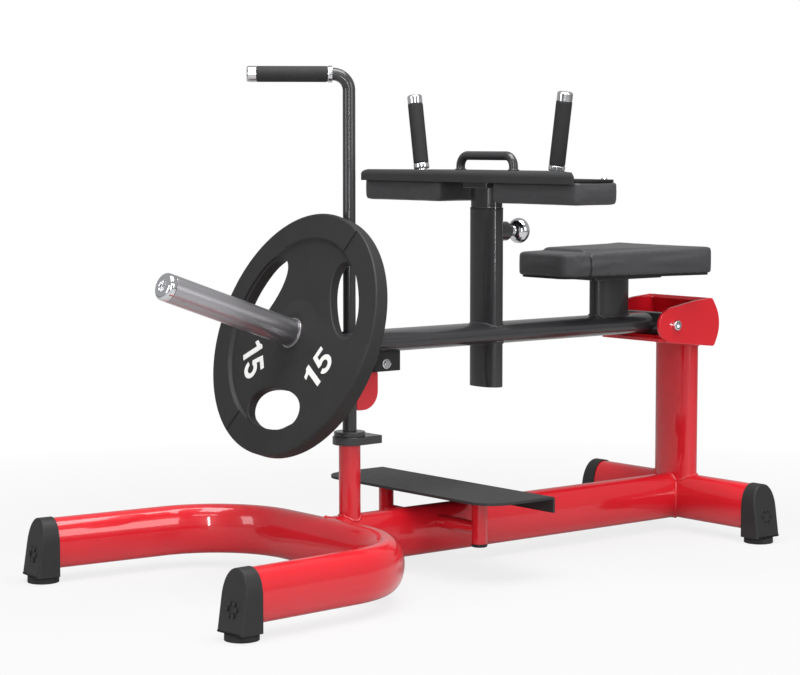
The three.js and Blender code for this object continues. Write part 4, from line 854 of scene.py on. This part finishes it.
# %% Boards and bolts under the pads
board_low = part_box("knee_board_left")[0][2] / MM
board_top, sheet_under = board_low + 5.0, 742.2
for side_name, sign in SIDES:
    (x0, y0, _), (x1, y1, _) = (np.array(corner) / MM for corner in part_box(f"knee_board_{side_name}"))
    boards = [slab(rectangle(x0, x1, y0, y1, 13, 8), board_low, board_top, 1.0)]
    for bar_x, bar_end in ((-165.0, 172.0), (-102.0, 256.0)):
        bar = rectangle(bar_x - 12, bar_x + 12, 84, bar_end, 2, 3)
        boards.append(slab(bar * (1, sign), board_top - 0.5, sheet_under, 0.5))
    piece(f"knee_ply_{side_name}", boards, board_paint, "knee_unit", f"knee_board_{side_name}")
    stud = turned([(6, -1), (6, 1.6, 0.8), (4.4, 3.0, 0.8), (0.6, 3.2)],
                  (-170.0, sign * 285.0, board_top - 0.1), Z, 48)
    piece(f"board_bolt_{side_name}", [stud], chrome, "knee_unit")

# %% [markdown]
# ## Grips and handles
# Two rubber grips lean outwards on chrome rods with a base ring and a cap, and a small bow handle stands
# between them.

# %% Hand grips
splay = math.radians(9)
base_ring = [(9, -2.0), (9, 1.0), (14.8, 1.0, 1.0), (15.4, 4.0, 1.0), (15.4, 11.5, 1.4),
             (11, 11.8, 0.3), (11, 131)]
grip_cap = [(11, 130.5), (14.6, 131, 0.6), (14.6, 145.5, 2.4), (11.8, 148, 1.6), (1, 148.2)]
grip_rubber = [(11.3, 12.0), (14.4, 12.0, 0.8), (15, 14.5, 2.0), (15, 128, 2.0), (14.4, 130.7, 0.8),
               (11.3, 130.7)]
for side_name, sign in SIDES:
    heading = np.array([0, sign * math.sin(splay), math.cos(splay)])
    root = (knee_x, sign * 194.5, sheet_top)
    chromed = [turned(corners, root, heading) for corners in (base_ring, grip_cap)]
    piece(f"grip_shaft_{side_name}", chromed, chrome, "knee_unit", f"grip_rod_{side_name}")
    piece(f"grip_rubber_{side_name}", [turned(grip_rubber, root, heading)], rubber, "knee_unit",
          f"grip_sleeve_{side_name}")

# %% Bow handle
bow_half, bow_rise, bow_radius, bow_bend = 76.5, 28.0, 8.6, 21
bow_corners = [(bow_half, 0), (bow_half, bow_rise), (-bow_half, bow_rise), (-bow_half, 0)]
bow_path = soften([(knee_x, y, sheet_top + z) for y, z in bow_corners], bow_bend, closed=False, steps=14)
bow_foot = [(11, 0.3, 0.2), (11, 2.2, 0.8), (8.8, 3.0, 0.6), (8.2, 5)]
bow_feet = [turned(bow_foot, (knee_x, sign * bow_half, sheet_top), Z, 56) for _, sign in SIDES]
piece("bow_handle", [sweep(circle(bow_radius, 40), bow_path, X), *bow_feet], black_paint, "knee_unit",
      "knee_u_handle")

# %% [markdown]
# ## Foot plate
# The feet rest on a folded sheet with rounded front corners and its rear edge folded down. Red tube legs
# hold it, each with a black plug at its foot and a short stub into the beam.

# %% Foot plate and legs
step_top, step_rear, step_front, step_half, step_corner = 152.0, -85.0, 78.0, 250, 55.0
corner_start = step_front - step_corner


def step_half_width(x):
    """Half the width, less the rounding at the front: r - √(r² - d²) at d past the corner's start."""
    past = np.clip(x - corner_start, 0, step_corner)
    return step_half - (step_corner - np.sqrt(np.maximum(step_corner**2 - past**2, 0)))


fold = soften([(step_rear, step_top - 30), (step_rear, step_top), (step_front, step_top)], 6.0, closed=False,
              steps=10)
front_turn = np.linspace(0, np.pi / 2, 28)
front_steps = np.stack([corner_start + step_corner * np.sin(front_turn), np.full(28, step_top)], 1)
fold = np.concatenate([fold[:-1], front_steps])
piece("step_sheet", [folded_sheet(fold, step_half_width)], sheet_black, "base", "foot_plate", wall=5.0)
for side_name, sign in SIDES:
    leg_at = (1, sign * 138, 0)
    leg = turned([(14.5, 58, 0.2), (14.5, step_top - 4.6, 0.2)], leg_at, Z, 56)
    stub = turned([(12.5, 22, 0.2), (12.5, 138, 0.2)], (1, 0, 87), Y * sign, 56)
    piece(f"step_leg_{side_name}", [leg, stub], red_paint, "base", f"foot_bracket_{side_name}")
    plug = turned([(10.5, 53), (13.5, 53, 1.0), (14.9, 55, 1.0), (14.9, 59, 0.6), (11, 59.4, 0.2)],
                  leg_at, Z, 56)
    piece(f"step_plug_{side_name}", [plug], cap_plastic, "base")

# %% [markdown]
# ## Safety post, bar and catch
# A round red post carries a black tab and a collar, and the bent safety bar turns in it. The bar goes up
# through the lever's slot and ends in a rubber grip with a chrome cap. A red catch plate on the bar holds
# the rubber block under the lever.

# %% Post and tab
safety_x, post_radius = 198.0, 20
at_safety = (safety_x, 0, 0)
post_round = turned([(post_radius, beam_z + 30), (post_radius, 253.7, 0.6), (17, 253.7)],
                    at_safety, Z, 80)
round_foot = circle(post_radius, 240)
round_bead = bead(saddle(round_foot, beam_z, beam_high, beam_wide, safety_x), lay(round_foot, 24.0), 2.8, 56)
piece("safety_post", [post_round, round_bead], red_paint, "base", "front_post")
tab_outline = soften([(142, -27), (230, -33), (230, 33), (142, 27)], (3, 31, 31, 3), steps=16)
piece("tab", [slab(tab_outline, 247, 262, 1.4)], black_paint, "base", "post_top_plate")
collar_corners = [(13.2, 262.3, 0.2), (29, 262.3, 1.0), (29, 270.9, 1.4), (13.2, 271.2, 0.4)]
piece("collar", [turned(collar_corners, at_safety, Z, 96)], black_paint, "safety_handle", "safety_washer")

# %% Bar, grip and catch
bar_aside = math.radians(-35)
bar_heading = np.array([math.cos(bar_aside), math.sin(bar_aside), 0])
bar_top, bar_reach, bar_radius, bar_bend = 923.0, 168, 11.6, 29
bar_corner = np.array([safety_x, 0, bar_top])
bar_end = bar_corner + bar_reach * bar_heading
bar_path = soften([(safety_x, 0, 200), bar_corner, bar_end], bar_bend, closed=False, steps=24)
bar = sweep(circle(bar_radius, 56), bar_path, np.cross(bar_heading, Z))
sleeve_corners = [(11.2, 271.5, 0.2), (13, 271.5, 0.2), (13, 395, 0.8), (11, 396.2, 0.2)]
piece("bar", [bar, turned(sleeve_corners, at_safety, Z, 64)], black_paint, "safety_handle", "safety_bar")
bar_ring = [(11, -138), (15.2, -137.4, 1.0), (15.2, -129.4, 1.0), (11, -129.0)]
bar_grip = [(11.7, -128.8), (13.8, -128.8, 0.8), (14.5, -126.5, 1.6), (14.5, -2.6, 1.6),
            (13.8, -0.2, 0.6), (11.7, -0.2)]
bar_cap = [(11, 0.2), (14.5, 0.3, 0.6), (14.5, 14.6, 2.2), (11.8, 17.2, 1.4), (1, 17.3)]
for name, corners, material, node in (
        ("bar_ring", bar_ring, chrome, ""), ("bar_grip", bar_grip, rubber, "safety_grip"),
        ("bar_cap", bar_cap, chrome, "safety_grip_cap")):
    piece(name, [turned(corners, bar_end, bar_heading)], material, "safety_handle", node)
catch = slab(rectangle(135.7, 184.9, 308, 378, (34, 5, 0.6, 5), 12), -6, 6, 1.0, **on_cheek)
piece("catch", [catch], red_paint, "safety_handle", "catch_plate")

# %% Stop block
block = slab(rectangle(93, 155, -20, 20, 3, 5), 378.3, lever_z - lever_high / 2 + 2, 1.2)
piece("stop_rubber", [block], rubber, "lever", "stop_block")
stop_at = np.array([128.0, 20.3, 392.3])
head = slab(soften(circle(8, 6), 0.5, steps=3), 0.0, 6.0, 0.8, origin=stop_at, right=X, up=Z, out=Y)
shank_washer = turned([(4, -4), (4, 0.0), (9.4, -0.2, 0.2), (9.4, 1.2, 0.4), (5, 1.3)],
                      stop_at, Y, 48)
piece("stop_screw", [head, shank_washer], chrome, "lever", "stop_bolt")

# %% [markdown]
# ## Horn and its bracket
# The bracket is an oval end plate on the lever, a socket that leans up, and a round flange that the weight
# plate rests against. The socket's first ring follows the leaning cylinder's lines back to the flat end
# plate.

# %% Bracket, horn and cap
horn_foot = np.array([331.0, 0.0, 459.5])
on_horn = {"origin": horn_foot, "right": Y, "up": horn_up, "out": horn_heading}
end_outline = oval(lever_wide + 6, lever_high + 6, 128)
end_plate = slab(end_outline, lever_end + 0.3, lever_end + 8.3, 1.0, **on_lever)
socket_outline = circle(32, 96)
back_to_plate = (lever_end + 0.3 - horn_foot[0] - socket_outline[:, 1] * horn_up[0]) / horn_heading[0]
socket_tube = prism(socket_outline, back_to_plate, -36.0, **on_horn)
flange = slab(circle(50, 112), -39.6, -31.6, 1.2, **on_horn)
socket_rim = circle(32, 200)
off_flange = lay(socket_rim, -30.0, right=Y, up=horn_up, out=horn_heading)
flange_bead = bead(lay(socket_rim, -39.8, **on_horn), off_flange, 3.0, 60)
piece("bracket", [end_plate, socket_tube, flange, flange_bead], black_paint, "lever", "horn_bracket")
horn = turned([(24.6, -69, 0.2), (25, -67, 0.4), (25, 275.2, 0.4), (21, 275.4)], horn_foot, horn_heading,
              128)
piece("horn", [horn], horn_steel, "lever", "weight_horn")
horn_cap = turned([(20, 268), (20, 275.6), (25, 276, 0.5), (25, 290, 8.0), (9.6, 290, 1.6),
                   (9.0, 284, 0.8), (0.8, 284)], horn_foot, horn_heading, 128, arc=9)
piece("horn_tip", [horn_cap], chrome, "lever", "horn_cap")

# %% [markdown]
# ## The weight plate
# A turned profile gives a disc with a thick rim, a thin web and a hub. Each of its three windows is cut with
# a tool that flares at both faces, which leaves the rounded edge of a casting, and a shallow relief widens
# the rim's grip beside it.

# %% Disc, windows and relief
plate_thick, web_drop, relief_deep = 31.0, 6, 1.6
front_corners = [(25.6, 0, 0.6), (38, 0, 3.0), (64, -web_drop, 14.0), (174, -web_drop, 3.0), (179.5, 0, 2.4),
                 (226, 0, 5.5)]
back_corners = [(radius, -plate_thick - height, rounding) for radius, height, rounding in front_corners[::-1]]
disc = turned([*front_corners, *back_corners], horn_foot, horn_heading, 192, loop=True, arc=5)


def facing_out(across, outward, facing):
    """Points given across and outwards from the hub, turned so that outwards is at the angle `facing`."""
    return np.stack([outward * math.cos(facing) - across * math.sin(facing),
                     outward * math.sin(facing) + across * math.cos(facing)], 1)


def window_tool(facing, edge=3.0):
    """A nearly plain ellipse, 150 mm across and 75 mm high, with its middle 139.5 mm from the hub's. It is
    pushed out by edge·(1 - sin a) over the last millimetres before each face of the web."""
    across, outward = oval(150, 75, 192).T
    outline = anticlockwise(facing_out(across, outward + 139.5, facing))
    turn = np.linspace(0, np.pi / 2, 5)
    near = [(-web_drop - edge * (1 - math.cos(a)), edge * (1 - math.sin(a))) for a in turn]
    far = [(-plate_thick - height, out) for height, out in near][::-1]
    levels = [(20, edge), (0.1 - web_drop, edge), *near[1:], *far[:-1], (web_drop - 0.1 - plate_thick, edge),
              (-plate_thick - 20, edge)]
    return skin(np.stack([lay(inset(outline, -out), height, **on_horn) for height, out in levels]))


def relief_tool(facing, low, high):
    """A band across the rim, 31 degrees to each side of the window, between two heights."""
    swing = np.linspace(-1, 1, 33) * math.radians(31)
    ring_of = lambda radius, turns: facing_out(radius * np.sin(turns), radius * np.cos(turns), facing)
    outline = np.concatenate([ring_of(236, swing), ring_of(170, swing[::-1])])
    return slab(outline, low, high, 0.05, steps=1, **on_horn)


facings = np.radians([-90, 30, 150])
plate_cuts = [window_tool(facing) for facing in facings]
plate_cuts += [relief_tool(facing, -relief_deep, 12) for facing in facings]
plate_cuts += [relief_tool(facing, -plate_thick - 12, relief_deep - plate_thick) for facing in facings]
piece("plate", [disc], plate_rubber, "load", "weight_plate", plate_cuts, crease=28)
hub_rings = ([(25.7, -0.5), (25.7, 0.5, 0.2), (27.6, 0.5, 0.4), (28.0, -0.5)],
             [(25.7, -30.6), (25.7, -31.2, 0.2), (27.6, -31.2, 0.2), (28.0, -30.6)])
piece("hub_liner", [turned(corners, horn_foot, horn_heading, 128, loop=True) for corners in hub_rings],
      horn_steel, "load")

# %% Numbers on the plate
figure_one = [(0.20, 0.0), (0.40, 0.0), (0.40, 1.0), (0.25, 1.0), (0.16, 0.89), (0.0, 0.83), (0.0, 0.67),
              (0.20, 0.74)]


def figure_five():
    """A bar and a stem over a bowl. The bowl is two arcs round (0.29, 0.33), from 105 and to -165 degrees."""
    outer, inner = np.radians(np.linspace(105, -165, 30)), np.radians(np.linspace(-165, 135, 26))
    arc = lambda turn, radius: np.stack([0.29 + radius * np.cos(turn), 0.33 + radius * np.sin(turn)], 1)
    return np.concatenate([[(0.56, 1.0), (0.56, 0.83), (0.22, 0.83)], arc(outer, 0.33), arc(inner, 0.155),
                           [(0.02, 0.46), (0.07, 1.0)]])


def number_on_plate(facing, middle=113.0, height=54.0):
    """Raised figures on the web whose tops point to the hub. The pair is 1.22 of its height wide."""
    outward = math.cos(facing) * Y + math.sin(facing) * horn_up
    place = {"origin": horn_foot + middle * outward, "right": np.cross(-outward, horn_heading),
             "up": -outward, "out": horn_heading}
    figures = [np.array(figure_one) - (0.61, 0.5), figure_five() - (0.01, 0.5)]
    return [slab(figure * height, -6.2, -5.4, 0.2, 2, **place) for figure in figures]


for number, facing in enumerate(np.radians([-30, -150])):
    piece(f"weight_number_{number}", number_on_plate(facing), marking, "load")

# %% [markdown]
# ## Cushions
# Seat and knee pads are foam under stretched vinyl on a board. Each starts as a slightly small boxy form, is
# remeshed into even squares, and is blown up from inside by Blender's cloth with no gravity, so the faces
# swell a little and the edges hold. How far a point may move is capped, and whatever would sink into the
# board is put back on it. The seat's seam comes last, as a groove.

# %% A pad as a boxy form
def pad_form(outline, low, top, edge, bulge):
    """Rings up the sides, out by bulge·sin(πh) at share h of the height, round the top edge by a quarter
    circle, and then in to the middle, where each point's height is top(x, y)."""
    outline = anticlockwise(outline)
    high = top(outline[:, 0], outline[:, 1])
    ring = lambda flat, height: np.stack([*flat.T, np.broadcast_to(height, len(flat))], 1)
    rings = [ring(inset(outline, -bulge * math.sin(math.pi * share)), low + share * (high - edge - low))
             for share in np.linspace(0, 1, 9)]
    rings += [ring(inset(outline, edge * (1 - math.cos(turn))), high - edge * (1 - math.sin(turn)))
              for turn in np.linspace(0, np.pi / 2, 7)[1:]]
    rim, middle = inset(outline, edge), outline.mean(0)
    for share in np.linspace(0.96, 0.03, 26):
        flat = middle + share * (rim - middle)
        rings.append(ring(flat, top(flat[:, 0], flat[:, 1])))
    return skin(np.stack(rings))

# %% Puff a pad with cloth
def spots_of(mesh):
    """The places of a mesh's points, one in each row."""
    spots = np.empty(len(mesh.vertices) * 3)
    mesh.vertices.foreach_get("co", spots)
    return spots.reshape(-1, 3)


def move_to(mesh, spots):
    mesh.vertices.foreach_set("co", spots.ravel())
    mesh.update()


def puffed(name, shell, voxel=4.0, cap=1.2, pressure=3.0, frames=20):
    """Even squares from a voxel remesh, then cloth with pressure, and each point's way cut at the cap."""
    thing = add(name, mesh_of(name, [shell]))
    modify(thing, "REMESH", mode="VOXEL", voxel_size=voxel * MM)
    settle(thing)
    start = spots_of(thing.data)
    cloth = modify(thing, "CLOTH")
    cloth.settings.quality = 4
    cloth.settings.use_pressure = True
    cloth.settings.uniform_pressure_force = pressure
    cloth.settings.effector_weights.gravity = 0
    cloth.point_cache.frame_start = 1
    cloth.point_cache.frame_end = frames
    for step in range(1, frames + 1):
        bpy.context.scene.frame_set(step)
    seen = thing.evaluated_get(bpy.context.evaluated_depsgraph_get())
    way = spots_of(seen.data) - start
    length = np.linalg.norm(way, axis=1, keepdims=True)
    way *= np.minimum(1, cap * MM / np.maximum(length, 1e-9))
    thing.modifiers.clear()
    bpy.context.scene.frame_set(1)
    move_to(thing.data, start + way)
    print(f"{name}: {len(way)} points, moved up to {length.max() / MM:.1f} mm, capped at {cap}")
    modify(thing, "SUBSURF", levels=1, render_levels=1)
    return settle(thing)


def finish_pad(thing, touch, material, body, node):
    move_to(thing.data, touch(spots_of(thing.data) / MM) * MM)
    shade_smooth(thing.data)
    dress(thing, material, body, node)

# %% Seat cushion
seat_low, seat_high, seat_step, seat_seam = 538.6, 582.5, 7, -334.0


def seat_top(x, y):
    """The rim's height with a slow crown of 1.5 mm, and 7 mm more behind the seam."""
    crown = 1.5 * np.clip(1 - ((x + 447) / 185) ** 2, 0, 1) * np.clip(1 - (y / 136) ** 2, 0, 1)
    step = seat_step / (1 + np.exp((x - seat_seam) / 1.4))
    return seat_high + crown + step


def seat_touch(spots):
    """A groove along the seam, deep by 4·exp(-(d / 2.4)²) at distance d, and a flat side on the board."""
    distance = spots[:, 0] - seat_seam
    above = np.clip((spots[:, 2] - seat_low - 4) / 10, 0, 1)
    spots[:, 2] -= 4.0 * np.exp(-(distance / 2.4) ** 2) * above
    spots[:, 2] = np.maximum(spots[:, 2], seat_low)
    return spots


seat = puffed("seat_cushion", pad_form(seat_outline(0.8), seat_low, seat_top, 4.0, 0.5))
finish_pad(seat, seat_touch, seat_vinyl, "lever", "seat_pad")

# %% Knee cushions
pad_top, pad_high = 727.0, 40.0


def knee_touch(spots):
    """A flat face against the board."""
    spots[:, 2] = np.minimum(spots[:, 2], pad_top)
    return spots


for side_name, sign in SIDES:
    outline = rectangle(-186 + 0.8, -78 - 0.8, *sorted((sign * 76.1, sign * 308.2)), 9, 10)
    points, quads, caps = pad_form(outline, -pad_top, lambda x, y: 0 * x - pad_top + pad_high, 4.0, 0.6)
    upside_down = (points * (1, 1, -1), quads[:, ::-1], [cap[::-1] for cap in caps])
    knee = puffed(f"knee_cushion_{side_name}", upside_down)
    finish_pad(knee, knee_touch, vinyl, "knee_unit", f"knee_pad_{side_name}")

# %% [markdown]
# ## CAD pieces that stay
# The bushes, the spring and the liner inside the post hardly show. They keep their CAD mesh and get a finish
# of the same family as the pieces round them.

# %% Finishes on CAD nodes
for node, material in (("pivot_bush_left", bronze), ("pivot_bush_right", bronze), ("pin_spring", steel),
                       ("post_bush", cap_plastic)):
    kept_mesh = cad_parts[node].data
    kept_mesh.materials.clear()
    kept_mesh.materials.append(material)
    print("kept", node, "with", material.name)

# %% [markdown]
# ## Floor and light
# The light is soft and comes from above, and narrow soft boxes draw the bright lines along the tubes. The
# background is white because floor and world say so to the camera, not because of more light. Near the
# object the floor keeps a share of its own shading, so the soft shadow stays.

# %% Floor
floor_mesh = bpy.data.meshes.new("floor")
corners = [(-30.0, -30.0, 0.0), (30.0, -30.0, 0.0), (30.0, 30.0, 0.0), (-30.0, 30.0, 0.0)]
floor_mesh.from_pydata(corners, [], [(0, 1, 2, 3)])
floor = add("floor", floor_mesh)
pale = Finish("floor_finish", Roughness=0.9, Specular_IOR_Level=0.0)
floor_place = pale.place()
pale.shade("Base Color", pale.between(pale.cloud(2.0, floor_place), (0.52, 0.52, 0.52, 1.0),
                                      (0.48, 0.48, 0.48, 1.0)))
from_middle = pale.node("ShaderNodeVectorMath", {"operation": "LENGTH"}, {0: floor_place}, "Value")
whiteness = pale.ramp(from_middle, 0.9, 1.9, 0.80, 1.0)
white_light = pale.node("ShaderNodeEmission", {}, {"Color": WHITE, "Strength": 1.0})
lit_floor = Amount(pale, pale.shader.outputs[0])
whiteness = whiteness * pale.seen(0.12)
floor_look = pale.node("ShaderNodeMixShader", {}, {0: whiteness, 1: lit_floor, 2: white_light})
pale.plug(pale.tree.nodes["Material Output"].inputs["Surface"], floor_look)
floor_mesh.materials.append(pale.material)
floor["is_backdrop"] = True

# %% World
world = bpy.data.worlds.new("studio")
bpy.context.scene.world = world
world.use_nodes = True
sky = Nodes(world.node_tree)
fill, white = (sky.node("ShaderNodeBackground", {}, {"Color": WHITE, "Strength": strength})
               for strength in (0.22, 1.0))
sky_look = sky.node("ShaderNodeMixShader", {}, {0: sky.seen(0.28), 1: fill, 2: white})
sky.plug(sky.tree.nodes["World Output"].inputs["Surface"], sky_look)

# %% Soft boxes
def soft_box(name, place, aim, width, height, power):
    """A rectangular area lamp that faces a point."""
    lamp = bpy.data.lights.new(name, "AREA")
    lamp.shape = "RECTANGLE"
    lamp.size, lamp.size_y = width, height
    lamp.energy = power
    thing = add(name, lamp)
    thing.location = place
    thing.rotation_euler = (Vector(aim) - Vector(place)).to_track_quat("-Z", "Y").to_euler()


soft_box("top_box", (0.2, 0.5, 3.0), (0.0, 0.0, 0.3), 2.6, 1.8, 118)
soft_box("tall_box", (3.2, 3.9, 1.6), (-0.1, 0.0, 0.5), 0.26, 2.8, 76)
soft_box("left_box", (-0.9, 3.4, 1.5), (-0.2, 0.0, 0.5), 1.2, 1.6, 30)
soft_box("front_box", (3.5, -0.4, 1.3), (0.0, 0.0, 0.5), 1.0, 1.6, 24)
soft_box("long_box", (1.4, 2.4, 2.6), (0.0, 0.0, 0.4), 2.6, 0.25, 14)
print("five soft boxes and a white world")

# %% [markdown]
# ## Measure
# The finishes are meant to leave the object's size as it was, so the CAD box from the start and the box of
# what shows now are kept side by side, and the new box is printed.

# %% Sizes and finish
bpy.context.scene.view_settings.view_transform = "Standard"
visual_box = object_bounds()
boxes = {"cad": [list(corner) for corner in cad_box], "visual": [list(corner) for corner in visual_box]}
print("visual box in metres:", boxes["visual"])
